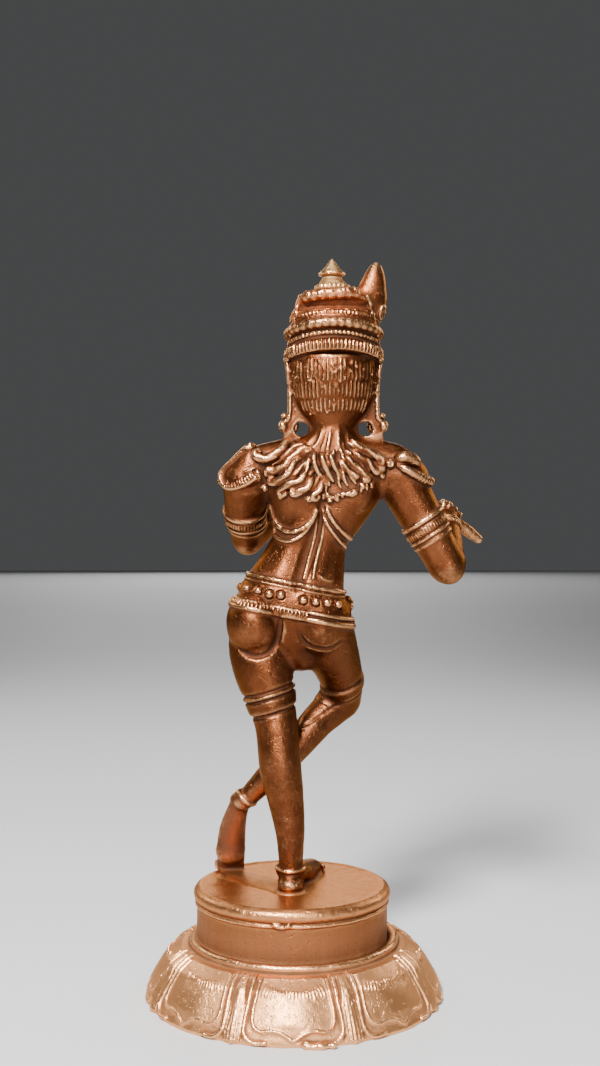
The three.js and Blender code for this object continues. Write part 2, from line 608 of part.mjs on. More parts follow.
// A closed skin with fewer facets. Points are drawn onto their neighbours, the least change of shape first,
// and never where that would fold the skin over or pinch it.
function lighter({ vertProperties, triVerts }, wanted) {
  const points = Array.from({ length: vertProperties.length / 3 }, (_, index) =>
    new THREE.Vector3().fromArray(vertProperties, index * 3));
  const faces = Array.from({ length: triVerts.length / 3 }, (_, index) =>
    [...triVerts.slice(index * 3, index * 3 + 3)]);
  const facesAt = points.map(() => new Set());
  const quadrics = points.map(() => new Array(10).fill(0));
  const normalOf = ([a, b, c]) => new THREE.Vector3().crossVectors(b.clone().sub(a), c.clone().sub(a));
  faces.forEach((face, index) => {
    const corners = face.map((corner) => points[corner]);
    const normal = normalOf(corners);
    const area = normal.length();
    const { x, y, z } = normal.normalize();
    const d = -normal.dot(corners[0]);
    const terms = [x * x, x * y, x * z, x * d, y * y, y * z, y * d, z * z, z * d, d * d];
    for (const corner of face) {
      facesAt[corner].add(index);
      terms.forEach((term, place) => (quadrics[corner][place] += term * area));
    }
  });
  const neighbours = (point) => {
    const corners = [...facesAt[point]].flatMap((face) => faces[face]);
    return new Set(corners.filter((other) => other !== point));
  };
  const keepsShape = (from, to) => {
    const shared = neighbours(from).intersection(neighbours(to));
    if (shared.size !== 2) return false;
    return [...facesAt[from]].every((face) => {
      if (faces[face].includes(to)) return true;
      const before = normalOf(faces[face].map((corner) => points[corner]));
      const after = normalOf(faces[face].map((corner) => points[corner === from ? to : corner]));
      if (before.length() < SLIVER) return after.length() >= before.length();
      return after.length() > SLIVER && before.angleTo(after) < 0.9;
    });
  };
  const drawOnto = (from, to) => {
    for (const face of facesAt[from]) {
      if (faces[face].includes(to)) {
        faces[face].forEach((corner) => corner !== from && facesAt[corner].delete(face));
        faces[face] = null;
      } else {
        faces[face] = faces[face].map((corner) => (corner === from ? to : corner));
        facesAt[to].add(face);
      }
    }
    facesAt[from].clear();
    quadrics[to] = quadrics[to].map((term, place) => term + quadrics[from][place]);
  };
  let left = faces.length;
  for (let limit = 1e-6; left > wanted && limit < 1; limit *= 1.5) {
    for (let from = 0; from < points.length && left > wanted; from++) {
      const near = [...neighbours(from)].map((to) => [strain(quadrics[from], points[to]), to]);
      const [cost, to] = near.reduce((best, item) => (item[0] < best[0] ? item : best), [Infinity, -1]);
      if (cost < limit && keepsShape(from, to)) {
        drawOnto(from, to);
        left -= 2;
      }
    }
  }
  return { points, faces: faces.filter((face) => face).flat() };
}

function meshOf(manifold, name) {
  const { points, faces } = lighter(manifold.getMesh(), FACETS);
  const loose = new THREE.BufferGeometry().setFromPoints(points);
  loose.setIndex(faces);
  const geometry = mergeVertices(loose.toNonIndexed(), MERGE);
  geometry.computeVertexNormals();
  const mesh = new THREE.Mesh(geometry, new THREE.MeshStandardMaterial(COPPER));
  mesh.name = name;
  return mesh;
}

const part = new THREE.Group();
part.add(meshOf(wasm.Manifold.union(shells), "krishna_figure"));

export default part;
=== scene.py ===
import math

import bpy
import numpy as np
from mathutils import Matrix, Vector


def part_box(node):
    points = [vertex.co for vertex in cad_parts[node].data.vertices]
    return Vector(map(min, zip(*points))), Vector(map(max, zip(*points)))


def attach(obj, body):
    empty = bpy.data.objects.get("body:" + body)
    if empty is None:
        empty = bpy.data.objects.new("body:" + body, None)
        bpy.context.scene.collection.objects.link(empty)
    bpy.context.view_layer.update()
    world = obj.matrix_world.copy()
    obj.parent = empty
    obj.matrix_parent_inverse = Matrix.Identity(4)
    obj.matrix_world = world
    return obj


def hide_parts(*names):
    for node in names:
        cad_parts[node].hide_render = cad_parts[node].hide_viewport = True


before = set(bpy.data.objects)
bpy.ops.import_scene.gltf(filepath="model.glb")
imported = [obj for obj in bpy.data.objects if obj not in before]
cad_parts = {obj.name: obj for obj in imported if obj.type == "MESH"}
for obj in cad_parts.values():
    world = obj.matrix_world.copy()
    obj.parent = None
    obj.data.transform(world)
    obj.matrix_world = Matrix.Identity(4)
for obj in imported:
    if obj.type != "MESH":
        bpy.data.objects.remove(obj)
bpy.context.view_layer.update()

import openvdb
from mathutils import Vector
from mathutils.bvhtree import BVHTree

# Sizes below are in millimetres, with z from the top of the plinth. The casting is 150 of them tall.
NODE = "krishna_figure"
low_corner, high_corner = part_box(NODE)
CASTING_HEIGHT = 150.0
PLINTH_HEIGHT = 22.0
MM = (high_corner.z - low_corner.z) / CASTING_HEIGHT

# The model is worked in clay: a lattice of distances to its surface, STEP apart and at most FAR.
STEP = 0.18
FAR = 3.0
# How far past its own corners a shape is worked into the clay, where it isn't softer than that
SPARE = 0.8
# A lattice is read between two samples, so places stop just short of its last one
PAST_LAST = 1.001
MOST_TRIANGLES = 198000
# For edges, worn and painted with highlights, and for sheltered places, tarnished and painted with shade: how
# far out the fullness of the metal is taken, and its contrast
EDGE_REACH, EDGE_CONTRAST = 0.5, 3.2
SHELTER_REACH, SHELTER_CONTRAST = 2.0, 2.4
# How far a girdle looks for the surface from a limb's axis, and where its places lie if there is none
LIMB_REACH, LIMB_GUESS = 16.0, 5
# The surface is looked for from this far in front of the figure or behind it, this far on. What lies deeper
# than the last number belongs to the other side.
SIGHT_FROM, SIGHT_REACH, SIGHT_DEPTH = 25.0, 60.0, -4
# How many steps a pressed mesh is known to each side of its surface
PRESS_STEPS = 4.0
UP = np.array([0.0, 0, 1])

# Clay and its shapes


def smooth_min(a, b, soft):
    if soft <= 0:
        return np.minimum(a, b)
    closeness = np.maximum(soft - np.abs(a - b), 0) / soft
    return np.minimum(a, b) - closeness * closeness * (soft * 0.25)


def unit(vector):
    vector = np.array(vector, float)
    return vector / np.linalg.norm(vector)


class Clay:
    """A block of clay. Shapes are given as (low corner, high corner, distance function)."""

    def __init__(self, low, high):
        self.first = np.floor(np.array(low, float) / STEP).astype(int)
        count = np.ceil(np.array(high, float) / STEP).astype(int) - self.first + 1
        self.depth = np.full(count, FAR, np.float32)

    def window(self, low, high):
        size = np.array(self.depth.shape)
        start = np.clip(np.floor(np.array(low) / STEP).astype(int) - self.first, 0, size)
        stop = np.clip(np.ceil(np.array(high) / STEP).astype(int) - self.first + 1, 0, size)
        part = tuple(slice(a, b) for a, b in zip(start, stop))
        x, y, z = ((np.arange(a, b) + first).astype(np.float32) * np.float32(STEP)
                   for a, b, first in zip(start, stop, self.first))
        return part, (x[:, None, None], y[None, :, None], z[None, None, :])

    def add(self, shape, soft=0.0, sign=1):
        """Joins a shape to the clay, or takes it out where the sign is -1."""
        low, high, distance = shape
        spare = max(soft, SPARE)
        part, places = self.window(np.array(low) - spare, np.array(high) + spare)
        if self.depth[part].size:
            self.depth[part] = sign * smooth_min(sign * self.depth[part], distance(*places), soft)

    def cut(self, shape, soft):
        self.add(shape, soft, -1)

    def lump(self, low, high):
        """Fresh clay on the same lattice, for a form that is joined as a whole."""
        return Clay(np.array(low) - 2.0, np.array(high) + 2.0)

    def join(self, other, soft):
        start = other.first - self.first
        stop = start + np.array(other.depth.shape)
        inner = np.clip(start, 0, self.depth.shape), np.clip(stop, 0, self.depth.shape)
        mine = tuple(slice(a, b) for a, b in zip(*inner))
        theirs = tuple(slice(a - s, b - s) for a, b, s in zip(*inner, start))
        if self.depth[mine].size:
            self.depth[mine] = smooth_min(self.depth[mine], other.depth[theirs], soft)

    def band(self, point, normal, half, lift, reach, soft):
        """Raises what lies between two parallel planes about a point, no further than reach."""
        point, normal = np.array(point, float), unit(normal)
        part, (x, y, z) = self.window(point - reach, point + reach)
        dx, dy, dz = x - point[0], y - point[1], z - point[2]
        level = dx * normal[0] + dy * normal[1] + dz * normal[2]
        across = np.sqrt(np.maximum(dx * dx + dy * dy + dz * dz - level * level, 0)) - reach
        shell = -smooth_min(lift - self.depth[part], half - np.abs(level), 0.35)
        shell = np.maximum(shell, across)
        self.depth[part] = smooth_min(self.depth[part], shell, soft)

    def soften(self, times):
        for _ in range(times):
            for axis in range(3):
                value = np.moveaxis(self.depth, axis, 0)
                value[1:-1] = 0.5 * value[1:-1] + 0.25 * (value[:-2] + value[2:])


def smooth_path(points, every=0.7):
    """Places on a smooth line through the given rows, of as many columns as they have."""
    rows = np.array(points, float)
    held = np.vstack([2 * rows[0] - rows[1], rows, 2 * rows[-1] - rows[-2]])
    line = []
    for a, b, c, d in zip(held, held[1:], held[2:], held[3:]):
        count = max(2, math.ceil(np.linalg.norm((c - b)[:3]) / every))
        bend, sway = 2 * a - 5 * b + 4 * c - d, 3 * b - a - 3 * c + d
        for t in np.arange(count) / count:
            line.append(0.5 * (2 * b + (c - a) * t + bend * (t * t) + sway * (t * t * t)))
    return np.array(line + [rows[-1]])


def cone(start, end, start_radius, end_radius, flat=None, share=1.0):
    """A rod with round ends. It may be flattened along one direction."""
    start, end = np.array(start, float), np.array(end, float)
    way = end - start
    length = max(float(way @ way), 1e-9)
    widest = max(start_radius, end_radius)
    low, high = np.minimum(start, end) - widest, np.maximum(start, end) + widest

    def distance(x, y, z):
        px, py, pz = x - start[0], y - start[1], z - start[2]
        t = np.clip((px * way[0] + py * way[1] + pz * way[2]) / length, 0, 1)
        px, py, pz = px - t * way[0], py - t * way[1], pz - t * way[2]
        radius = start_radius + t * (end_radius - start_radius)
        if flat is None:
            return np.sqrt(px * px + py * py + pz * pz) - radius
        along = (px * flat[0] + py * flat[1] + pz * flat[2]) * (1 / share - 1)
        px, py, pz = px + along * flat[0], py + along * flat[1], pz + along * flat[2]
        return (np.sqrt(px * px + py * py + pz * pz) - radius) * (0.5 + 0.5 * share)

    return low, high, distance


def limb(clay, stations, soft=0.0, flat=None, share=1.0):
    """A round form along stations [x, y, z, radius]."""
    line = smooth_path(stations)
    widest = line[:, 3].max()
    form = clay.lump(line[:, :3].min(0) - widest, line[:, :3].max(0) + widest)
    for a, b in zip(line, line[1:]):
        form.add(cone(a[:3], b[:3], a[3], b[3], flat, share))
    clay.join(form, soft)


def ellipsoid(centre, radii):
    centre, radii = np.array(centre, float), np.array(radii, float)

    def distance(x, y, z):
        local = [(place - middle) / radius for place, middle, radius in zip((x, y, z), centre, radii)]
        inner = np.sqrt(local[0] ** 2 + local[1] ** 2 + local[2] ** 2)
        slope = np.sqrt(sum((value / radius) ** 2 for value, radius in zip(local, radii)))
        return inner * (inner - 1) / np.maximum(slope, 1e-4)

    return centre - radii, centre + radii, distance


def hoop(centre, axis, radius, thick):
    """A ring of round section."""
    centre, axis = np.array(centre, float), unit(axis)
    reach = radius + thick

    def distance(x, y, z):
        px, py, pz = x - centre[0], y - centre[1], z - centre[2]
        level = px * axis[0] + py * axis[1] + pz * axis[2]
        out = np.sqrt(np.maximum(px * px + py * py + pz * pz - level * level, 0)) - radius
        return np.sqrt(out * out + level * level) - thick

    return centre - reach, centre + reach, distance


def stack(clay, stations, power=2.2, soft=0.0):
    """A body of level rings through stations [z, x, y, half width, half depth]."""
    rows = np.array(stations, float)
    dense = smooth_path(rows, 0.4)
    dense = dense[np.argsort(dense[:, 0])]
    widest = dense[:, 3:5].max(0)
    low = np.array([*(dense[:, 1:3] - widest).min(0), rows[0, 0]])
    high = np.array([*(dense[:, 1:3] + widest).max(0), rows[-1, 0]])

    def distance(x, y, z):
        level = np.clip(z, rows[0, 0], rows[-1, 0])
        middle_x, middle_y, wide, deep = (np.interp(level, dense[:, 0], dense[:, i]) for i in (1, 2, 3, 4))
        slope = np.gradient(np.interp(z.ravel(), dense[:, 0], 0.5 * (dense[:, 3] + dense[:, 4])), STEP)
        u, v = np.abs(x - middle_x) / wide, np.abs(y - middle_y) / deep
        inner = np.maximum((u**power + v**power) ** (1 / power), 1e-3)
        slant = np.sqrt((u ** (power - 1) / wide) ** 2 + (v ** (power - 1) / deep) ** 2)
        steep = inner ** (1 - power) * slant
        side = (inner - 1) / np.maximum(steep, 0.02) / np.sqrt(1 + slope * slope)[None, None, :]
        cap = np.maximum(rows[0, 0] - z, z - rows[-1, 0])
        return np.maximum(side, cap).astype(np.float32)

    clay.add((low, high, distance), soft)


# The figure's stance: stations of each form

TORSO = [
    [47.6, 0.6, 1.0, 4.0, 3.0],
    [49.2, 0.7, 1.2, 8.2, 4.8],
    [51.6, 0.8, 1.4, 10.4, 5.8],
    [55.5, 0.9, 1.4, 11.0, 6.5],
    [60, 0.4, 1.0, 10.5, 6.4],
    [63.2, -0.4, 0.6, 9.8, 5.8],
    [66.2, -1.5, 0.3, 8.8, 5.4],
    [69.3, -2.8, 0.1, 8.1, 5.3],
    [72.3, -4.6, 0.0, 8.7, 5.7],
    [76.4, -5.8, 0.0, 10.4, 6.3],
    [80.4, -6.2, 0.0, 12.6, 6.5],
    [84.4, -6.4, 0.2, 15.4, 5.6],
    [87.2, -6.8, 0.6, 13.4, 4.6],
    [89.6, -7.3, 0.8, 8.5, 4.2],
    [93, -7.8, 0.4, 4.4, 4.2],
]
LEFT_LEG = [
    [6.2, 1.2, 54, 6.2],
    [6.9, 0.9, 49, 6.4],
    [6.2, 2.1, 44, 6.0],
    [4.7, 2.8, 38, 4.9],
    [3.5, 3.7, 32.5, 4.3],
    [2.7, 4.6, 24.5, 4.2],
    [1.6, 5.0, 18.2, 3.6],
    [0.8, 5.3, 12.2, 2.95],
    [0.6, 5.5, 6.2, 2.45],
    [0.6, 5.6, 2, 2.3],
]
LEFT_FOOT = [[0.7, 6.6, 1.5, 2.4], [0.1, 2.6, 2.4, 2.5], [-1.8, -4, 1.5, 2.7], [-3.3, -9.4, 0.9, 2.5]]
RIGHT_THIGH = [
    [-5.2, 0.8, 54, 6.4],
    [-7.0, -1.2, 49, 5.9],
    [-8.8, -3.2, 44.7, 5.0],
    [-9.9, -5.4, 41.0, 4.5],
    [-9.9, -8.2, 37, 4.2],
]
RIGHT_SHIN = [
    [-9.4, -8.2, 36.4, 4.2],
    [-4.6, -5.4, 32.1, 3.5],
    [0.6, -2.7, 26.8, 3.1],
    [5.4, -2.6, 21.4, 2.6],
    [9.2, -4.0, 17.2, 2.1],
]
RIGHT_FOOT = [
    [11.0, -4.4, 16.2, 1.9],
    [12.2, -6.0, 12.6, 2.35],
    [13.0, -7.6, 8.9, 2.8],
    [13.4, -9.4, 4.4, 3.0],
    [13.4, -10.8, 1.4, 2.8],
]
LEFT_ARM = [[9.6, 0, 82, 4.9], [10.2, -3.6, 76.6, 4.1], [9.6, -8.6, 71.8, 3.8]]
LEFT_FOREARM = [
    [9.4, -9.0, 71.4, 3.7], [3.0, -13, 76.8, 3.1], [-5.8, -14.6, 83.4, 2.1], [-9.4, -14.4, 86.4, 1.9],
]
RIGHT_ARM = [[-22.0, 0.2, 82.3, 5.0], [-26.1, 0.4, 74.6, 4.4], [-31.1, -0.2, 65.6, 3.9]]
RIGHT_FOREARM = [[-31.3, -0.8, 65.6, 3.8], [-32.2, -7, 70, 3.1], [-33.0, -12.6, 74.2, 2.1]]
HEAD_X = -8.0
FLUTE_FROM = np.array([-6.4, -9.9, 95.6])
FLUTE_TO = np.array([-40, -17.2, 70.4])
FLUTE_WAY = unit(FLUTE_TO - FLUTE_FROM)
FLUTE_RADIUS = 1.15
BELT_HEIGHT = 58.2
BELT_LEAN = 0.19
BELT_POINT = [0.4, 1.2, BELT_HEIGHT + BELT_LEAN * 0.4]
BELT_NORMAL = [-BELT_LEAN, 0, 1]


def egg(clay, centre, radii, soft):
    clay.add(ellipsoid(centre, radii), soft)


def rods(work, line, soft):
    """Rods along rows of [x, y, z, radius]. Work is the clay's add or its cut."""
    for a, b in zip(line, line[1:]):
        work(cone(a[:3], b[:3], a[3], b[3]), soft)


def mirrored(middle):
    """A way to place things beside the middle for each side, first the figure's right and then its left."""
    def placer(side):
        return lambda out, *rest: [middle + side * out, *rest]
    return placer(-1), placer(1)


def trunk(clay):
    stack(clay, TORSO)
    for side, x, neck_x in ((1, 7.4, 1), (-1, -20.6, -16)):
        limb(clay, [[neck_x, 0.4, 87.8, 3.1], [x, 0.4, 85.2, 3.6], [x + side * 2.6, 0.2, 82.8, 4.2]], 1.2)
        limb(clay, [[-7.5 + side * 6.6, 0.8, 87.4, 3.3], [-7.5 + side * 12, 0.9, 86.6, 3.4],
                    [x + side * 1.0, 0.8, 85.4, 3.6]], 1.5)
    for x in (-1.2, -11.6):
        egg(clay, [x, 4.1, 80.6], [4.2, 2.5, 5.2], 1.6)
        egg(clay, [x + 0.1, -4.3, 80.9], [5.0, 2.7, 3.9], 1.3)
    for side in (-1, 1):
        limb(clay, [[-5.6 + side * 2.9, 3.7, 76, 2.0], [-2.6 + side * 3.0, 3.6, 68, 1.9],
                    [0.4 + side * 3.4, 4.6, 60, 2.2]], 1.4)
    egg(clay, [-0.6, -3.2, 61.6], [7.6, 3.6, 6.4], 2.0)
    clay.cut(ellipsoid([-1.4, -6.6, 64.4], [0.7, 0.9, 0.9]), 0.5)
    spine = [[-6.2, 7.4, 79, 0.8], [-4.4, 6.4, 72, 1.0], [-2.2, 6.5, 66, 1.0], [-0.6, 7.7, 61, 0.9]]
    rods(clay.cut, smooth_path(spine), 1.0)


def legs(clay):
    limb(clay, LEFT_LEG, 0.7)
    limb(clay, RIGHT_THIGH, 1.0)
    egg(clay, [8.0, 2.8, 53.6], [5.7, 7.2, 6.9], 0.4)
    egg(clay, [-5.1, 2.0, 52.7], [5.1, 6.5, 5.6], 1.2)
    limb(clay, [[1.3, 3.4, 56, 3.7], [0.6, 2.8, 50, 3.6], [-1.0, 1.2, 46.8, 3.0],
                [-2.4, -0.4, 45.4, 1.9]], 1.2)
    limb(clay, [[3.4, 5.6, 31.5, 2.4], [3.0, 6.5, 26, 2.7], [2.1, 6.3, 20, 2.0]], 1.6)
    limb(clay, [[4.5, -1.4, 36.5, 1.6], [3.9, -0.6, 33.0, 1.5]], 1.2)
    limb(clay, RIGHT_SHIN, 0.6)
    egg(clay, [-10.3, -10.7, 37.6], [2.6, 2.0, 2.9], 1.4)
    limb(clay, [[-4.2, -3.6, 31.0, 2.2], [0.2, -1.0, 26.0, 1.9]], 1.4)


# Each toe's radius and length, from the great toe on
TOES = [(0.95, 2.4), (0.75, 2.3), (0.7, 2.0), (0.65, 1.6), (0.6, 1.1)]
TOE_PITCH = 1.12


def toe_row(clay, root, forward, droop, soft):
    forward = unit(forward)
    side = unit(np.cross(forward, UP))
    for index, (radius, reach) in enumerate(TOES):
        start = np.array(root) + side * (index - 1.9) * TOE_PITCH
        tip = start + forward * reach - np.array([0, 0, droop])
        middle = (start + tip) / 2 + [0, 0, 0.25]
        limb(clay, [[*start, radius], [*middle, radius * 0.92], [*tip, radius]], soft)
        nail = tip + forward * radius * 0.3 + np.array([0, 0, radius * 0.72])
        egg(clay, nail, [radius * 0.5, radius * 0.5, radius * 0.22], 0.05)


def feet(clay):
    limb(clay, LEFT_FOOT, 0.8, UP, 0.72)
    egg(clay, [0.7, 7.0, 1.4], [2.35, 2.2, 1.9], 0.5)
    for at in mirrored(0.75):
        egg(clay, at(2.0, 5.0, 4.1), [0.9, 1.2, 1.1], 0.7)
    toe_row(clay, [-3.5, -10.0, 1.0], [-0.25, -1, 0], 0.35, 0.25)
    limb(clay, RIGHT_FOOT, 0.6, unit([0.1, 1, -0.25]), 0.62)
    egg(clay, [10.6, -3.8, 16.2], [2.1, 2.0, 2.0], 0.8)
    egg(clay, [13.6, -8.2, 4.4], [2.9, 1.5, 2.4], 0.9)
    egg(clay, [12.1, -4.6, 16.2], [1.2, 1.2, 1.3], 0.5)
    toe_row(clay, [13.9, -11.6, 0.8], [0.1, -1, 0], 0.1, 0.2)
    limb(clay, [[1.6, 4.0, -1.1, 5.0], [6.5, -1.0, -1.1, 5.6], [12.0, -6.4, -1.1, 5.6]], 1.6, UP, 0.3)
    limb(clay, [[0.3, 4.8, -1.1, 5.0], [-2.6, -6, -1.1, 5.2]], 1.6, UP, 0.3)
    egg(clay, [-2.2, -3.2, 1.6], [1.8, 4.0, 2.0], 1.2)


def arms(clay):
    for stations, soft in ((LEFT_ARM, 1.6), (LEFT_FOREARM, 0.8), (RIGHT_ARM, 1.6), (RIGHT_FOREARM, 0.8)):
        limb(clay, stations, soft)
    egg(clay, [-31.6, 1.2, 63.8], [2.6, 2.4, 2.4], 1.6)
    egg(clay, [9.9, -8.4, 69.2], [2.3, 2.3, 2.0], 1.4)


def flute_point(share):
    return FLUTE_FROM + (FLUTE_TO - FLUTE_FROM) * share


def flute(clay):
    tube = [(share, FLUTE_RADIUS) for share in (0.05, 0.5, 0.86)]
    girths = [(0.0, 1.0), *tube, (0.94, 1.25), (1.0, 0.95)]
    limb(clay, [[*flute_point(share), radius] for share, radius in girths])
    for share in (0.03, 0.06, 0.47, 0.5, 0.53):
        clay.add(hoop(flute_point(share), FLUTE_WAY, FLUTE_RADIUS - 0.05, 0.28), 0.1)
    for share in (0.1, 0.36, 0.4, 0.58, 0.62):
        clay.cut(ellipsoid(flute_point(share) + np.array([0, -0.85, 0.85]), [0.4, 0.4, 0.4]), 0.1)


def hand(clay, wrist, share, side):
    """A palm beside the flute, four fingers over it and a thumb under it."""
    grip = flute_point(share)
    over = FLUTE_RADIUS + 0.62
    palm = grip * 0.62 + np.array(wrist, float) * 0.38
    limb(clay, [[*wrist, 1.8], [*palm, 2.1]], 0.9, FLUTE_WAY, 1.15)
    for finger, size in enumerate([0.9, 1.06, 1.0, 0.84]):
        shift = FLUTE_WAY * 1.42 * (finger - 1.5)
        root = palm + shift * 0.85
        knuckle = grip + shift + np.array([0.8 * side, 0.8 * size, over * size])
        bend = grip + shift + np.array([-0.3, -over * size, 1.2 * size])
        tip = grip + shift + np.array([-0.5, -over * size, -0.6 * size])
        limb(clay, [[*root, 0.82 * size], [*knuckle, 0.76 * size], [*bend, 0.68 * size],
                    [*tip, 0.6 * size]], 0.18)
    thumb = [[*palm, 0.95], [*(grip + [0.5 * side, 0.6, -over]), 0.8], [*(grip + [-0.6, -0.9, -over]), 0.68]]
    limb(clay, thumb, 0.2)


def head(clay):
    x = HEAD_X
    limb(clay, [[x + 0.4, 1.0, 87, 4.3], [x, 0.6, 95, 4.0]], 1.0)
    form = clay.lump([x - 12, -12, 88], [x + 12, 10, 112])
    stack(form, [
        [91.4, x, -4.4, 1.6, 1.8], [92.4, x, -3.6, 3.2, 3.6], [94, x, -2.6, 4.7, 5.4],
        [96.5, x, -1.4, 6.0, 6.8], [99.5, x, -0.6, 6.8, 7.9], [103, x, 0, 7.2, 8.5], [106.6, x, 0, 7.3, 8.5],
    ], 2.1)
    form.soften(2)
    face(form, x)
    clay.join(form, 0.3)


def face(clay, x):
    """Plain and calm, in even proportion: brows, lowered lids, nose, lips, chin and cheeks."""
    for at in mirrored(x):
        egg(clay, at(3.3, -5.9, 96.9), [2.5, 2.0, 2.3], 1.4)
        clay.cut(ellipsoid(at(2.9, -9.5, 100.5), [2.3, 1.7, 1.35]), 0.9)
        egg(clay, at(2.85, -6.9, 100.3), [1.9, 1.15, 0.95], 0.15)
        limb(clay, [at(1.0, -7.75, 100.1, 0.2), at(2.8, -8.25, 101.1, 0.3), at(4.9, -6.9, 100.4, 0.22)], 0.12)
        limb(clay, [at(1.1, -7.75, 99.95, 0.15), at(2.8, -8.0, 99.4, 0.2), at(4.7, -6.9, 100.1, 0.15)], 0.12)
        limb(clay, [at(0.8, -8.4, 101.9, 0.28), at(2.9, -8.2, 103.0, 0.34), at(5.3, -6.6, 102.0, 0.2)], 0.35)
        egg(clay, at(0.95, -8.9, 97.6), [0.68, 0.8, 0.55], 0.35)
        clay.cut(ellipsoid(at(0.55, -9.5, 96.95), [0.32, 0.4, 0.22]), 0.15)
    limb(clay, [[x, -7.6, 102.6, 0.7], [x, -8.7, 99.9, 0.72], [x, -9.55, 98.0, 0.95]], 0.5)
    egg(clay, [x, -8.0, 95.2], [2.0, 1.1, 1.5], 0.9)
    for at in mirrored(x):
        egg(clay, at(0.72, -8.75, 95.55), [1.05, 0.55, 0.34], 0.2)
    egg(clay, [x, -8.65, 94.72], [1.25, 0.6, 0.42], 0.18)
    egg(clay, [x, -7.0, 92.7], [1.9, 1.5, 1.3], 0.9)
    egg(clay, [x, -8.75, 104.4], [0.42, 0.35, 0.75], 0.15)


# Half widths and heights of the flat frame beside the hair
HAIR_FRAME = [[10.2, 88.6], [10.1, 91.4], [10.3, 93.6], [9.4, 95.0], [9.2, 98.5], [9.4, 103], [10.0, 106.9]]
FRAME_HALF_THICK = 1.25
FRAME_Y = 1.6
RIM_LOW = 94.4


def hair_block(clay):
    """The hair at the back of the head and the flat frame on both sides of it."""
    x = HEAD_X
    stack(clay, [
        [91.6, x, 1.2, 2.6, 2.2], [94.2, x, 2.0, 5.0, 3.9], [96.8, x, 2.1, 7.0, 5.2],
        [99.8, x, 2.0, 8.2, 6.1], [103.2, x, 1.8, 8.7, 6.7], [107.2, x, 1.7, 8.8, 6.8],
    ], 2.0, 1.2)
    edge = smooth_path(HAIR_FRAME, 0.5)
    bottom, top = HAIR_FRAME[0][1], HAIR_FRAME[-1][1]

    def frame_distance(px, py, pz):
        half = np.interp(pz.ravel(), edge[:, 1], edge[:, 0])[None, None, :]
        flat = np.maximum(np.abs(px - x) - half, np.maximum(bottom - pz, pz - top))
        return np.maximum(flat, np.abs(py - FRAME_Y) - FRAME_HALF_THICK)

    low, high = [x - 11, FRAME_Y - FRAME_HALF_THICK, bottom], [x + 11, FRAME_Y + FRAME_HALF_THICK, 107]
    clay.add((low, high, frame_distance), 0.35)
    for side, at in zip((-1, 1), mirrored(x)):
        rim = smooth_path([at(value - 0.4, FRAME_Y + FRAME_HALF_THICK, z) for value, z in edge[::3]], 1.2)
        rods(clay.add, [[*place, 0.42] for place in rim if place[2] > RIM_LOW], 0.15)
        egg(clay, at(10.2, FRAME_Y + 0.6, 93.4), [0.95, 1.2, 1.2], 0.4)
        egg(clay, at(9.9, FRAME_Y, 95.4), [0.7, 1.0, 0.7], 0.3)
        egg(clay, at(9.5, FRAME_Y + 0.9, 106.8), [0.7, 0.8, 0.6], 0.3)
        clay.cut(cone(at(6.45, -6, 92.8), at(6.45, 9, 92.8), 1.5, 1.5), 0.3)
        egg(clay, at(7.0, -0.6, 99.6), [0.9, 1.2, 2.2], 0.3)
        limb(clay, [at(7.2, -1.8, 99.8, 0.35), at(7.5, -1.7, 101.4, 0.42), at(7.8, -0.6, 102.0, 0.5),
                    at(8.1, 0.3, 100.8, 0.5), at(7.9, -0.2, 98.8, 0.5), at(7.7, -0.7, 97.4, 0.6)], 0.15)
        limb(clay, [at(7.7, -0.8, 97.2, 0.6), at(8.3, -0.9, 95.4, 0.7)], 0.3)
        clay.add(hoop(at(8.8, -1.0, 93.6), [0.3 * side, 1, 0], 1.25, 0.6), 0.15)
        egg(clay, at(8.8, -1.6, 93.6), [0.75, 0.8, 0.75], 0.1)


# Rings of the crown as [z, half width, half depth]
CROWN = [
    [105.9, 7.8, 6.9], [106.3, 8.3, 7.6], [106.6, 9.4, 8.9], [107.0, 9.75, 9.2], [108.6, 9.75, 9.2],
    [109.0, 9.3, 8.8], [109.4, 8.95, 8.4], [109.7, 9.1, 8.6], [110.6, 9.1, 8.6], [110.9, 8.95, 8.4],
    [111.3, 9.35, 8.9], [112.0, 9.5, 9.1], [112.8, 9.3, 8.8], [113.3, 8.85, 8.2], [113.8, 8.7, 7.9],
    [115.4, 8.5, 7.4], [116.2, 8.3, 7.1], [116.7, 8.0, 6.4], [118.3, 7.6, 6.4], [119.2, 7.4, 7.0],
    [119.9, 6.6, 6.3], [120.5, 5.4, 5.2], [121.2, 4.0, 3.8], [121.9, 3.3, 3.2], [122.9, 2.6, 2.6],
    [123.5, 2.1, 2.1], [124.4, 1.8, 1.8],
]
CROWN_MIDDLE = np.array([HEAD_X - 0.1, 0.3])
CROWN_BOW = 1.3
CROWN_HALF_WIDTH = 9.6
FINIAL_SHIFT = 0.35
FINIAL = [
    [124.1, 1.9], [124.3, 2.7], [124.7, 2.7], [125.6, 1.75], [126.7, 0.95], [127.4, 0.5], [127.8, 0.1],
]
FEATHER = [
    [113.0, -15.2, 0.9, 1.2, 0.9], [115.5, -15.8, 0.9, 2.0, 1.4], [117.5, -16.0, 0.8, 2.6, 1.8],
    [119.6, -16.0, 0.8, 2.9, 2.1], [121.2, -15.95, 0.8, 2.85, 2.1], [122.7, -16.1, 0.8, 2.6, 1.9],
    [124.3, -16.4, 0.8, 2.05, 1.6], [125.6, -16.6, 0.8, 1.5, 1.2], [126.4, -16.7, 0.8, 0.95, 0.8],
    [126.9, -16.7, 0.8, 0.3, 0.3],
]


def ease(value, start, stop):
    share = np.clip((value - start) / (stop - start), 0, 1)
    return share * share * (3 - 2 * share)


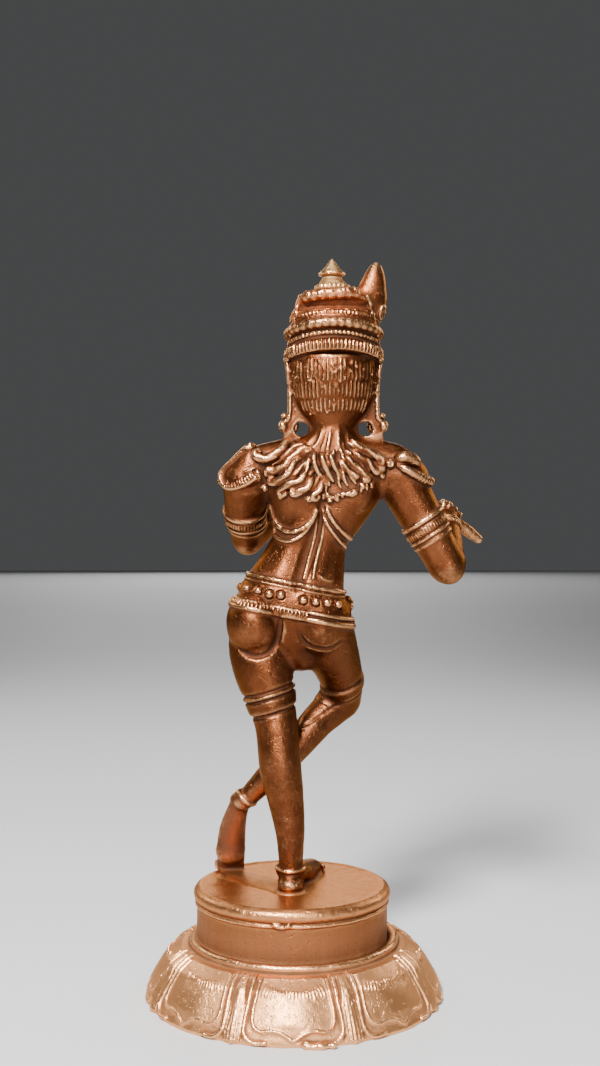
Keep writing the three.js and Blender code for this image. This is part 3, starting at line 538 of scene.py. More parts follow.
def crown_bow(across, y, z):
    """How much higher the crown's bands run at the middle of the back than at the sides."""
    arch = np.clip(1 - (across / CROWN_HALF_WIDTH) ** 2, 0, 1) * ease(y, -1.0, 4.0)
    return CROWN_BOW * arch * (1 - ease(z, 112, 119.5)) * ease(z, 104, 106)


def bowed(body, x):
    """The same clay with each column pushed up by the bow of the crown's bands."""
    across, back, height = ((np.arange(count) + first) * STEP
                            for count, first in zip(body.depth.shape, body.first))
    lower = height - crown_bow(across[:, None, None] - x, back[None, :, None], height)
    spot = np.clip(lower / STEP - body.first[2], 0, len(height) - PAST_LAST)
    base = spot.astype(int)
    share = (spot - base).astype(np.float32)
    below = np.take_along_axis(body.depth, base, 2)
    return below * (1 - share) + np.take_along_axis(body.depth, base + 1, 2) * share


def crown(clay):
    x, y = CROWN_MIDDLE
    body = clay.lump([x - 11, -11, 105], [x + 11, 12, 128])
    stack(body, [[z, x + max(0, z - 120) * 0.08, y, wide, deep] for z, wide, deep in CROWN], 2.25)
    body.depth = bowed(body, x)
    clay.join(body, 0.1)
    stack(clay, [[z, x + FINIAL_SHIFT, y, radius, radius] for z, radius in FINIAL], 2, 0.1)
    stack(clay, FEATHER, 2, 0.5)
    limb(clay, [[-12.0, 1.2, 120.4, 1.2], [-13.8, 1.2, 119.8, 1.8], [-15.2, 1.0, 118.8, 2.2]], 0.8)
    plaque = [
        [110.0, -8.6, 2.2, 1.0], [113.0, -8.9, 3.2, 1.2], [116.5, -7.7, 2.0, 1.3], [119.0, -6.4, 0.4, 1.0],
    ]
    stack(clay, [[z, x, front, wide, deep] for z, front, wide, deep in plaque], 2, 0.2)
    egg(clay, [x, -10.0, 112.6], [1.2, 0.7, 1.5], 0.1)


# The plinth: a lotus, a rough collar ring, a drum, a bead and a rounded lip

LOTUS = np.array([
    [20.6, -11.2], [23.0, -11.7], [25.4, -13.6], [27.3, -16.7], [29.1, -19.8], [29.8, -21.5], [29.7, -22.0],
])
LOTUS_TOP = LOTUS[0, 1]
FOOT_LINE = -PLINTH_HEIGHT
PETALS = 8
PETAL_TURN = 2 * math.pi / PETALS
DRUM_RADIUS = 19.4
DRUM_SHIFT = 0.4
COLLAR_RADIUS = 20.2
# Drops of metal on the bead at the back as [x, y, z, size], and how many lie along the ragged rim
BEAD_DROPS = [
    (2.9, 19.6, -2.9, 0.55), (2.0, 19.7, -3.1, 0.4), (3.6, 19.5, -2.7, 0.4), (0.9, 19.8, -2.8, 0.35),
]
RIM_DROPS = 26


def lotus_radius(z):
    return np.interp(-z, -LOTUS[:, 1], LOTUS[:, 0])


def on_lotus(across, fall):
    """A place on the lotus and its normal. Across is -1 to 1 over one petal, fall is 0 at the collar."""
    z = LOTUS_TOP + (FOOT_LINE - LOTUS_TOP) * fall
    radius = float(lotus_radius(z))
    rise = float(lotus_radius(z - 0.3) - lotus_radius(z + 0.3)) / 0.6
    turn = math.pi / 2 + across * PETAL_TURN / 2
    out = unit([math.cos(turn), math.sin(turn), rise])
    swell = float(petal_swell(across, fall))
    return np.array([radius * math.cos(turn), radius * math.sin(turn), z]) + out * swell, out


def petal_swell(across, fall):
    """How far a petal stands out of the lotus: a soft pillow with a hollow between it and the pleats."""
    side = np.abs(across)
    pillow = 0.7 * (1 - ease(side, 0.1, 0.78)) * ease(fall, 0.05, 0.4) * (1 - 0.7 * ease(fall, 0.62, 0.85))
    pleat = 0.3 * ease(side, 0.84, 0.96) * ease(fall, 0.0, 0.3)
    return pillow + pleat


def plinth_distance(x, y, z):
    radius = np.sqrt(x * x + y * y)
    drum = np.sqrt((x - DRUM_SHIFT) ** 2 + y * y)
    turn = np.arctan2(y, x)
    across = ((turn - math.pi / 2) / PETAL_TURN + 0.5) % 1 * 2 - 1
    fall = np.clip((LOTUS_TOP - z) / (LOTUS_TOP - FOOT_LINE), 0, 1)
    uneven = 0.12 * np.sin(turn * 3 + 1) + 0.08 * np.sin(turn * 11) + 0.05 * np.sin(turn * 29 + 2)
    edge = lotus_radius(z.ravel())[None, None, :].astype(np.float32)
    slope = np.gradient(edge.ravel(), STEP)[None, None, :]
    side = (radius - edge) / np.sqrt(1 + slope * slope)
    side = side - petal_swell(across, fall) - uneven * ease(fall, 0.8, 1)
    lotus = np.maximum(side, z - LOTUS_TOP)
    wall = np.maximum(drum - DRUM_RADIUS, np.maximum(z + 0.9, LOTUS_TOP - 1 - z))
    top = np.maximum(drum - DRUM_RADIUS + 0.6, np.maximum(z, -2 - z))
    lip = np.sqrt((drum - DRUM_RADIUS + 0.75) ** 2 + (z + 1.35) ** 2) - 1.4
    bead = np.sqrt((drum - DRUM_RADIUS) ** 2 + (z + 3.1) ** 2) - 0.4
    collar = np.sqrt((radius - COLLAR_RADIUS) ** 2 + (z + 11.1) ** 2) - 0.95
    form = smooth_min(np.minimum(wall, lotus), collar, 0.25)
    form = smooth_min(form, bead, 0.15)
    form = smooth_min(form, smooth_min(top, lip, 0.5), 0.1)
    return np.maximum(form, FOOT_LINE - z).astype(np.float32)


def plinth(clay):
    reach = LOTUS[:, 0].max() + 1
    clay.add(([-reach, -reach, FOOT_LINE], [reach, reach, 0], plinth_distance))
    for x, y, z, size in BEAD_DROPS:
        egg(clay, [x, y, z], [size * 1.2, size, size], 0.3)
    flash = np.random.default_rng(4)
    for _ in range(RIM_DROPS):
        x = -7.6 + 5.4 * flash.random()
        size = 0.25 + 0.4 * flash.random()
        place = [x, 29.9 + 0.5 * flash.random(), FOOT_LINE + 0.3 + 0.6 * flash.random()]
        egg(clay, place, [size * 1.5, size, size], 0.2)


# Shapes that repeat or follow a line are grown from the line by node trees


class Wire:
    """A node's output, which adds to, takes from and multiplies numbers and other wires."""

    def __init__(self, tree, socket):
        self.tree = tree
        self.socket = socket

    def beside(self, name):
        """Another output of the same node."""
        return Wire(self.tree, self.socket.node.outputs[name])

    def math(self, operation, *values):
        return put(self.tree, "ShaderNodeMath", dict(enumerate(values)), operation=operation)

    def __add__(self, other):
        return self.math("ADD", self, other)

    def __mul__(self, other):
        return self.math("MULTIPLY", self, other)

    def __sub__(self, other):
        return self.math("SUBTRACT", self, other)

    def __rsub__(self, other):
        return self.math("SUBTRACT", other, self)

    def __truediv__(self, other):
        return self.math("DIVIDE", self, other)


class Group:
    """A node group with named inputs and outputs."""

    def __init__(self, name, kind, inputs, outputs):
        self.tree = bpy.data.node_groups.new(name, kind)
        sockets = self.tree.interface
        for label, (kind, value) in inputs.items():
            item = sockets.new_socket(label, in_out="INPUT", socket_type="NodeSocket" + kind)
            if value is not None:
                item.default_value = value
        for label, kind in outputs.items():
            sockets.new_socket(label, in_out="OUTPUT", socket_type="NodeSocket" + kind)
        self.start = self.tree.nodes.new("NodeGroupInput").outputs
        self.end = self.tree.nodes.new("NodeGroupOutput").inputs

    def input(self, label):
        return Wire(self.tree, self.start[label])

    def output(self, label, wire):
        self.tree.links.new(wire.socket, self.end[label])


def put(tree, kind, wires=None, take=0, **settings):
    """Adds a node, sets it up, wires its named or numbered sockets and gives the output that is taken."""
    node = tree.nodes.new(kind)
    for name, value in settings.items():
        setattr(node, name, value)
    for name, value in (wires or {}).items():
        if isinstance(value, Wire):
            tree.links.new(value.socket, node.inputs[name])
        else:
            node.inputs[name].default_value = value
    return Wire(tree, node.outputs[take])


def growth_tree(name, inputs):
    inputs = {"Geometry": ("Geometry", None), **inputs, "Finish": ("Material", None)}
    group = Group(name, "GeometryNodeTree", inputs, {"Geometry": "Geometry"})
    curve = put(group.tree, "GeometryNodeMeshToCurve", {"Mesh": group.input("Geometry")})
    return group, group.tree, curve


def attribute(tree, name, kind="FLOAT"):
    return put(tree, "GeometryNodeInputNamedAttribute", {"Name": name}, "Attribute", data_type=kind)


def close_tree(group, geometry):
    real = put(group.tree, "GeometryNodeRealizeInstances", {"Geometry": geometry})
    finish = {"Geometry": real, "Material": group.input("Finish")}
    group.output("Geometry", put(group.tree, "GeometryNodeSetMaterial", finish))
    return group.tree


def cord_tree():
    """A cord along a line: round or of several strands, plain or notched across."""
    group, tree, curve = growth_tree("cord_on_line", {
        "Strands": ("Int", 3), "Groove": ("Float", 0.0), "Twist": ("Float", 0.0),
        "Notch pitch": ("Float", 1.0), "Notch depth": ("Float", 0.0),
    })
    length = put(tree, "GeometryNodeSplineParameter", take="Length")
    phase = length / group.input("Notch pitch") * (2 * math.pi)
    girth = attribute(tree, "girth") * (1.0 - phase.math("COSINE", phase) * group.input("Notch depth"))
    curve = put(tree, "GeometryNodeSetCurveRadius", {"Curve": curve, "Radius": girth})
    curve = put(tree, "GeometryNodeSetCurveTilt", {"Curve": curve, "Tilt": length * group.input("Twist")})
    circle = put(tree, "GeometryNodeCurvePrimitiveCircle", {"Resolution": 20, "Radius": 1.0})
    place = put(tree, "GeometryNodeInputPosition")
    x = put(tree, "ShaderNodeSeparateXYZ", {0: place}, "X")
    angle = x.math("ARCTAN2", x.beside("Y"), x) * group.input("Strands")
    reach = angle.math("COSINE", angle) * group.input("Groove") + 1.0
    moved = put(tree, "ShaderNodeVectorMath", {"Vector": place, "Scale": reach}, operation="SCALE")
    profile = put(tree, "GeometryNodeSetPosition", {"Geometry": circle, "Position": moved})
    girths = put(tree, "GeometryNodeInputRadius")
    return close_tree(group, put(tree, "GeometryNodeCurveToMesh", {
        "Curve": curve, "Profile Curve": profile, "Scale": girths, "Fill Caps": True,
    }))


def row_tree(name, make_shape):
    """One shape repeated along a line, with its height along the line's outward direction."""
    group, tree, curve = growth_tree(name, {
        "Spacing": ("Float", 1.0), "Along": ("Float", 0.5), "Across": ("Float", 0.5),
        "Height": ("Float", 0.5), "Unevenness": ("Float", 0.08), "Seed": ("Int", 1),
    })
    pitch = {"Curve": curve, "Length": group.input("Spacing")}
    points = put(tree, "GeometryNodeCurveToPoints", pitch, "Points", mode="LENGTH")
    out = attribute(tree, "out", "FLOAT_VECTOR")
    axes = {"Primary Axis": out, "Secondary Axis": points.beside("Tangent")}
    turn = put(tree, "FunctionNodeAxesToRotation", axes, primary_axis="Z", secondary_axis="X")
    uneven = group.input("Unevenness")
    limits = {2: 1.0 - uneven, 3: uneven + 1.0, "Seed": group.input("Seed")}
    size = put(tree, "FunctionNodeRandomValue", limits, 1, data_type="FLOAT") * attribute(tree, "girth")
    sizes = [size * group.input(label) for label in ("Along", "Across", "Height")]
    scale = put(tree, "ShaderNodeCombineXYZ", dict(enumerate(sizes)))
    return close_tree(group, put(tree, "GeometryNodeInstanceOnPoints", {
        "Points": points, "Instance": make_shape(tree), "Rotation": turn, "Scale": scale,
    }))


def bead_shape(tree):
    return put(tree, "GeometryNodeMeshIcoSphere", {"Radius": 1.0, "Subdivisions": 2}, "Mesh")


def rim_shape(tree):
    circle = put(tree, "GeometryNodeCurvePrimitiveCircle", {"Resolution": 16, "Radius": 1.0})
    wire = put(tree, "GeometryNodeCurvePrimitiveCircle", {"Resolution": 6, "Radius": 0.24})
    return put(tree, "GeometryNodeCurveToMesh", {"Curve": circle, "Profile Curve": wire})


def wreath_tree():
    """A carved piece repeated round the upright axis."""
    inputs = {"Geometry": ("Geometry", None), "Count": ("Int", PETALS), "Finish": ("Material", None)}
    group = Group("wreath", "GeometryNodeTree", inputs, {"Geometry": "Geometry"})
    tree, count = group.tree, group.input("Count")
    points = put(tree, "GeometryNodeMeshLine", {"Count": count, "Offset": (0.0, 0.0, 0.0)})
    index = put(tree, "GeometryNodeInputIndex")
    turn = index * index.math("DIVIDE", 2 * math.pi, count)
    upright = put(tree, "ShaderNodeCombineXYZ", {"Z": turn})
    rotation = put(tree, "FunctionNodeEulerToRotation", {"Euler": upright})
    return close_tree(group, put(tree, "GeometryNodeInstanceOnPoints", {
        "Points": points, "Instance": group.input("Geometry"), "Rotation": rotation,
    }))


def shown(name, data):
    """A thing in the scene that shows a mesh, lamp or lens."""
    thing = bpy.data.objects.new(name, data)
    bpy.context.scene.collection.objects.link(thing)
    return thing


def altered(mesh, kind, settings, inputs):
    """The plain mesh that one modifier makes of a mesh."""
    thing = shown("work", mesh)
    change = thing.modifiers.new("change", kind)
    for name, value in settings.items():
        setattr(change, name, value)
    for identifier, value in inputs.items():
        change[identifier] = value
    bpy.context.view_layer.update()
    result = bpy.data.meshes.new_from_object(thing.evaluated_get(bpy.context.evaluated_depsgraph_get()))
    thing.modifiers.remove(change)
    bpy.data.objects.remove(thing)
    return result


def grown(tree, mesh, values):
    """The plain mesh that a tree makes of a mesh."""
    sockets = {item.name: item.identifier for item in tree.interface.items_tree if item.in_out == "INPUT"}
    inputs = {sockets[label]: value for label, value in {"Finish": copper, **values}.items()}
    return altered(mesh, "NODES", {"node_group": tree}, inputs)


def note(mesh, name, values, kind="FLOAT"):
    """Notes a number or a direction at each point of a mesh."""
    field = "value" if kind == "FLOAT" else "vector"
    mesh.attributes.new(name, kind, "POINT").data.foreach_set(field, values.astype(np.float32).ravel())


def read(items, field, kind=np.float32):
    """Rows of three values, one row for each item."""
    values = np.empty(len(items) * 3, kind)
    items.foreach_get(field, values)
    return values.reshape(-1, 3)


def lines_mesh(paths, closed=False):
    """One mesh of lines. A path's rows are [x, y, z, girth, outward x, y, z]."""
    rows = np.array([row for path in paths for row in path], float)
    edges, start = [], 0
    for path in paths:
        last = start + len(path) - 1
        edges += [(i, i + 1) for i in range(start, last)]
        if closed:
            edges.append((last, start))
        start = last + 1
    mesh = bpy.data.meshes.new("lines")
    mesh.from_pydata(rows[:, :3].tolist(), edges, [])
    note(mesh, "girth", rows[:, 3])
    note(mesh, "out", rows[:, 4:], "FLOAT_VECTOR")
    return mesh


def press(clay, mesh, soft):
    """Joins a closed mesh, which may run through itself, to the clay."""
    mesh.calc_loop_triangles()
    points = read(mesh.vertices, "co")
    corners = read(mesh.loop_triangles, "vertices", kind=np.int32)
    grid = openvdb.FloatGrid.createLevelSetFromPolygons(
        points, triangles=corners.astype(np.uint32),
        transform=openvdb.createLinearTransform(STEP), halfWidth=PRESS_STEPS,
    )
    part, _ = clay.window(points.min(0) - 1, points.max(0) + 1)
    values = np.empty([edge.stop - edge.start for edge in part], np.float32)
    grid.copyToArray(values, tuple(int(edge.start + first) for edge, first in zip(part, clay.first)))
    clay.depth[part] = smooth_min(clay.depth[part], values, soft)


def cords(clay, paths, soft=0.15, closed=False, notch=(), strands=()):
    """Cords along paths. Notch gives pitch and depth, and strands their count, groove and twist."""
    values = dict(zip(("Notch pitch", "Notch depth"), notch))
    values.update(zip(("Strands", "Groove", "Twist"), strands))
    press(clay, grown(trees["cord"], lines_mesh(paths, closed), values), soft)


def beads(clay, path, spacing, along, across, height, soft=0.08,
          closed=False, unevenness=0.08, seed=1, kind="bead"):
    """One shape repeated along a path, with its half sizes."""
    values = {"Spacing": spacing, "Along": along, "Across": across, "Height": height,
              "Unevenness": unevenness, "Seed": seed}
    press(clay, grown(trees[kind], lines_mesh([path], closed), values), soft)


def groove(clay, places, size, lift, soft, ends=0):
    """Cuts a round groove along places with their normals, which thins away over some places at its ends."""
    last = len(places) - 1
    sizes = [size * min(1.0, (min(index, last - index) + 1) / (ends + 1)) for index in range(last + 1)]
    rods(clay.cut, [[*(place + normal * lift), thick] for (place, normal), thick in zip(places, sizes)], soft)


# The surface that ornaments are laid on

BACK, FRONT = 1, -1


class Skin:
    """The surface of the clay as it stands, which the next ornaments are laid on."""

    def __init__(self, clay):
        grid = openvdb.FloatGrid(FAR)
        grid.copyFromArray(np.ascontiguousarray(clay.depth[::2, ::2, ::2]))
        points, quads = grid.convertToQuads()
        points = (points * 2 + clay.first) * STEP
        self.tree = BVHTree.FromPolygons(points.tolist(), quads.tolist())

    def outward(self, origin, way):
        """Where a straight way out of a limb meets the surface, and the surface's outward side there."""
        place, normal, _, _ = self.tree.ray_cast(Vector(origin), Vector(way), LIMB_REACH)
        if place is None:
            return np.array(origin) + unit(way) * LIMB_GUESS, unit(way)
        normal = np.array(normal)
        return np.array(place), normal if normal @ np.array(way) > 0 else -normal

    def side(self, x, z, way):
        """The surface seen from the back (way 1) or from the front (way -1)."""
        start = Vector((x, SIGHT_FROM * way, z))
        place, normal, _, _ = self.tree.ray_cast(start, Vector((0, -way, 0)), SIGHT_REACH)
        if place is None or place.y * way < SIGHT_DEPTH:
            place, normal, _, _ = self.tree.find_nearest(Vector((x, 2.0 * way, z)))
        normal = np.array(normal)
        return np.array(place), normal if normal[1] * way > 0 else -normal


def laid(places, girth=1.0, lift=0.0):
    """Path rows for places with their normals. Girth and lift are one value or one for each place."""
    sizes = zip(*(np.broadcast_to(value, len(places)) for value in (girth, lift)))
    return [[*(place + out * rise), thick, *out] for (place, out), (thick, rise) in zip(places, sizes)]


def girdle(skin, point, normal, first=0.0, last=360.0, step=5.0):
    """Places around a limb, in a plane about a point. 0 degrees is the figure's left and 90 its back."""
    normal = unit(normal)
    left = unit(np.array([1.0, 0, 0]) - normal * normal[0])
    back = np.cross(normal, left)
    if abs(last - first) > 359:
        turns = np.arange(first, last - 0.1, step)
    else:
        turns = np.linspace(first, last, max(3, round(abs(last - first) / step)))
    return [skin.outward(point, left * math.cos(t) + back * math.sin(t)) for t in np.radians(turns)]


def drawn(points, every):
    """(x, z) places on a smooth line through the given ones."""
    return smooth_path([[x, 0, z] for x, z in points], every)[:, [0, 2]]


def traced(skin, points, way=BACK, every=0.5):
    """Places under a smooth line of (x, z) points, seen from the back or the front."""
    return [skin.side(x, z, way) for x, z in drawn(points, every)]


# Ornaments

# Locks of hair as (x, z) points from root to tip, their girth, and the size of the curl at the tip
LEFT_LOCKS = [
    ([(-2.0, 90.0), (1.0, 89.6), (2.3, 88.4), (4.0, 87.2), (5.8, 86.5), (7.2, 86.8)], 1.0, 1.15),
    ([(-4.8, 89.0), (-2.2, 88.6), (-0.6, 87.6), (0.6, 86.3), (1.8, 84.9), (3.5, 84.2), (4.9, 84.5)],
     0.98, 1.05),
    ([(-4.2, 88.0), (-1.7, 87.0), (-0.3, 85.8), (0.3, 84.4), (1.5, 83.0), (2.9, 82.1), (4.1, 81.9)],
     0.95, 0.95),
    ([(-3.6, 85.4), (-2.4, 83.4), (-1.3, 82.2), (0.1, 81.6), (1.4, 81.1), (2.3, 80.3)], 0.9, 1.0),
    ([(-4.6, 84.4), (-3.6, 82.2), (-2.6, 80.7), (-1.4, 80.1), (-0.4, 79.5)], 0.85, 0.9),
    ([(-5.8, 83.6), (-5.7, 81.6), (-5.1, 80.4), (-3.9, 79.2)], 0.75, 0.8),
]
RIGHT_LOCKS = [
    ([(-10.4, 91.6), (-12.2, 89.3), (-14.0, 88.3), (-15.8, 87.5), (-17.4, 86.7)], 0.98, 1.15),
    ([(-10.4, 89.2), (-12.8, 87.1), (-14.6, 86.1), (-15.5, 84.7), (-16.5, 84.1), (-17.6, 84.6)], 0.92, 0.85),
    ([(-9.6, 88.2), (-10.4, 86.9), (-11.8, 85.3), (-13.4, 83.8), (-14.4, 82.9)], 0.92, 0.85),
    ([(-8.8, 87.2), (-9.3, 86.0), (-10.5, 84.6), (-12.0, 83.0)], 0.85, 0.7),
]
SHORT_LOCKS = [
    ([(-4.4, 88.2), (-4.2, 86.4), (-4.7, 84.4), (-5.2, 82.6)], 0.62),
    ([(-5.6, 88.0), (-6.0, 86.0), (-6.9, 84.0), (-8.0, 81.8)], 0.64),
    ([(-7.2, 88.0), (-7.6, 86.2), (-8.3, 84.6), (-9.4, 83.2)], 0.56),
    ([(-6.6, 86.8), (-6.9, 85.0), (-6.6, 83.2), (-7.2, 81.0)], 0.5),
    ([(-8.9, 86.6), (-9.6, 84.4), (-10.0, 82.6), (-10.8, 80.9)], 0.52),
    ([(-8.2, 85.2), (-8.9, 83.2), (-9.0, 81.6), (-9.6, 80.5)], 0.46),
    ([(-10.6, 84.6), (-11.2, 83.2), (-12.4, 81.4)], 0.5),
    ([(-3.4, 87.4), (-2.9, 85.4), (-2.4, 83.6), (-1.9, 82.4)], 0.5),
    ([(-5.0, 84.6), (-5.6, 82.9), (-6.4, 81.3), (-6.4, 80.0)], 0.48),
]
FINE_STRANDS = [
    [(-1.2, 87.2), (-0.9, 85.0), (-0.5, 83.3)], [(-2.0, 87.2), (-1.8, 84.9), (-1.3, 83.0)],
    [(-2.8, 87.0), (-2.8, 84.8), (-2.5, 83.0)], [(-5.2, 88.2), (-5.3, 86.2), (-5.4, 84.8)],
    [(-6.6, 88.2), (-6.8, 86.4), (-7.2, 84.9)], [(-8.0, 88.6), (-7.9, 87.0), (-7.8, 85.6)],
    [(-9.2, 88.8), (-9.6, 87.2), (-10.2, 86.0)],
]
# Loose curls and rough lumps as (x, z, size)
CURLS = [(-19.4, 85.6, 1.15), (-17.7, 83.3, 0.95), (5.9, 80.8, 0.9), (2.3, 79.1, 0.95), (-3.0, 78.4, 0.85),
         (7.3, 83.8, 0.7)]
CLUMPS = [
    (-6.9, 79.2, 0.7), (-7.7, 78.5, 0.8), (-8.7, 78.9, 0.7), (-9.8, 79.3, 0.72), (-10.8, 79.3, 0.7),
    (-11.7, 79.6, 0.75), (-12.6, 80.0, 0.76), (-13.5, 80.6, 0.8), (-14.4, 81.0, 0.7), (-15.3, 81.5, 0.76),
    (-5.8, 78.9, 0.6), (-4.6, 78.8, 0.6),
]
NAPE_STRANDS = 13
# Rough patches in the hair as (x, z, half width, half height, lumps, seed)
ROUGH_HAIR = [
    (HEAD_X - 2.6, 104.6, 3.2, 1.2, 34, 21), (HEAD_X + 3.4, 103.8, 2.2, 2.2, 30, 22),
    (HEAD_X + 0.8, 101.2, 1.9, 1.0, 18, 23), (HEAD_X + 2.0, 96.8, 3.0, 1.0, 12, 24),
    (HEAD_X - 8.2, 101.0, 0.9, 4.6, 22, 25), (HEAD_X + 8.2, 101.0, 0.9, 4.6, 22, 25),
]


def lock_girths(count, girth, tip):
    share = np.linspace(0, 1, count)
    swell = 0.62 + 0.38 * np.sin(math.pi * np.minimum(share * 1.1, 1.0) * 0.8)
    return girth * swell * (1 - (1 - tip) * share**4)


def strands_between(locks):
    """Thinner strands that lie halfway between neighbouring locks, for most of their length."""
    lines = []
    spots = np.linspace(0, 0.86, 7)
    for (first, _, _), (second, _, _) in zip(locks, locks[1:]):
        ways = [drawn(points, 0.3) for points in (first, second)]
        picked = [way[(spots * (len(way) - 1)).astype(int)] for way in ways]
        lines.append(0.5 * (picked[0] + picked[1]))
    return lines


def nape(clay):
    """The full form under the locks."""
    x = HEAD_X
    limb(clay, [[-4.4, 2.4, 88.2, 3.0], [-7.6, 3.2, 85.2, 3.4], [-11.4, 2.4, 87.2, 3.0]], 1.5)
    limb(clay, [[x, 2.0, 96, 3.8], [x, 2.0, 92.6, 3.9], [x + 0.2, 2.4, 89.6, 4.2],
                [x + 0.4, 3.0, 87, 4.0]], 1.4)


def rooted(places, girth, rise, tip):
    """Path rows for a lock that comes out of the surface at its root."""
    share = np.linspace(0, 1, len(places))
    lifts = rise - (girth + 0.45) * (1 - ease(share, 0, 0.22))
    return laid(places, lock_girths(len(places), girth, tip), lifts)


def curled(points, size, hand):
    """The line with its end turned into a curl."""
    tip, before = np.array(points[-1], float), np.array(points[-2], float)
    way = unit(tip - before)
    side = hand * np.array([way[1], -way[0]])
    centre = tip + side * size
    turns = np.linspace(0.5, 4.4, 9)
    curl = [centre + (way * math.sin(t) - side * math.cos(t)) * size * (1 - 0.11 * t) for t in turns]
    return list(points) + curl


def hair_fall(clay, skin):
    """Locks that fan out from the nape over the back and shoulders, and end in curls."""
    strands = []
    for index in range(NAPE_STRANDS):
        share = index / (NAPE_STRANDS - 1) * 2 - 1
        wave = 0.5 * math.sin(index * 2.4)
        places = traced(skin, [(-7.9 - share * 3.2, 94.2), (-7.8 - share * 3.6 + wave * 0.3, 92.0),
                               (-7.5 - share * 4.8 + wave, 89.8),
                               (-7.3 - share * 6.0 + wave * 0.6, 87.6 + 1.4 * abs(share))])
        girths = lock_girths(len(places), 0.36 + 0.1 * math.sin(index * 4.1), 0.7)
        strands.append(laid(places, girths, np.linspace(-0.4, 0.0, len(places))))
    cords(clay, strands, 0.15)
    long_paths = []
    for index, (points, girth, curl) in enumerate(LEFT_LOCKS + RIGHT_LOCKS):
        line = curled(points, curl * 0.62, 1 if index % 2 else -1)
        long_paths.append(rooted(traced(skin, line, every=0.35), girth, girth * 0.45, 0.5))
    cords(clay, long_paths, 0.1, strands=(3, 0.07, 0.6))
    between = strands_between(LEFT_LOCKS) + strands_between(RIGHT_LOCKS)
    thin = [(points, 0.62, 0.25, 0.45) for points in between]
    thin += [(points, 0.4, 0.1, 0.3) for points in FINE_STRANDS]
    thin += [(points, girth, girth * 0.8, 0.5) for points, girth in SHORT_LOCKS]
    cords(clay, [rooted(traced(skin, points, every=0.4), *sizes) for points, *sizes in thin], 0.1)
    cords(clay, [curl_path(skin, *curl) for curl in CURLS], 0.12)
    chance = np.random.default_rng(41)
    for x, z, size in CLUMPS:
        for _ in range(4):
            across, up = chance.uniform(-0.7, 0.7, 2)
            place, out = skin.side(x + size * across, z + size * up, BACK)
            radii = size * chance.uniform(0.4, 0.85, 3)
            egg(clay, place + out * size * chance.uniform(0.2, 0.75), radii, 0.12)


def curl_path(skin, x, z, size):
    """A line that winds into a flat curl, with its middle standing out."""
    turns = np.linspace(0, 7.5, 18)
    reach = size * (0.78 - 0.1 * turns)
    places = traced(skin, zip(x + reach * np.cos(turns), z + reach * np.sin(turns)), every=0.25)
    share = np.linspace(0, 1, len(places))
    return laid(places, size * (0.34 + 0.1 * share), size * (0.1 + 0.6 * share))


def rough_patch(clay, skin, x, z, wide, high, count, seed):
    """A patch that came rough out of the mould: small crumpled lumps and shallow pits."""
    chance = np.random.default_rng(seed)
    for _ in range(count):
        place, out = skin.side(x + wide * chance.uniform(-1, 1), z + high * chance.uniform(-1, 1), BACK)
        size = chance.uniform(0.2, 0.34)
        along = unit([chance.uniform(-1, 1), 0, chance.uniform(-1, 1)])
        start, end = place - along * size * 1.6 - out * 0.1, place + along * size * 1.6 - out * 0.1
        if chance.random() < 0.75:
            clay.add(cone(start, end, size, size * 0.6), 0.12)
        else:
            clay.cut(cone(start + out * 0.32, end + out * 0.32, size * 0.8, size * 0.6), 0.2)


def head_hair(clay, skin):
    """Tiers of upright strokes on the back of the head, and short ones over the brow."""
    x = HEAD_X
    tiers = [(104.0, 2.3, 12, 168), (100.4, 1.9, 20, 160), (97.2, 1.5, 30, 150)]
    for tier, (z, half, first, last) in enumerate(tiers):
        places = girdle(skin, [x, 1.2, z], UP, first, last, 2.5)
        girths = 1.0 + 0.12 * np.sin(np.arange(len(places)) * 1.9)
        beads(clay, laid(places, girths, -0.06), 0.84, 0.29, half, 0.3, seed=tier, unevenness=0.1)
    for patch in ROUGH_HAIR:
        rough_patch(clay, skin, *patch)
    beads(clay, laid(girdle(skin, [x, 0, 104.2], UP, 195, 345, 2.5)), 0.95, 0.42, 0.6, 0.5, seed=7)


def crown_ring(skin, z, girth=1.0, lift=0.0):
    """Path rows around the crown at one height, which follow the rise of its bands at the back."""
    x, y = CROWN_MIDDLE
    places = []
    for turn in np.radians(np.arange(0, 360, 3.0)):
        rise = crown_bow(9.4 * math.cos(turn), 9 * math.sin(turn), z)
        places.append(skin.outward([x, y, z + rise], [math.cos(turn), math.sin(turn), 0]))
    return laid(places, girth, lift)


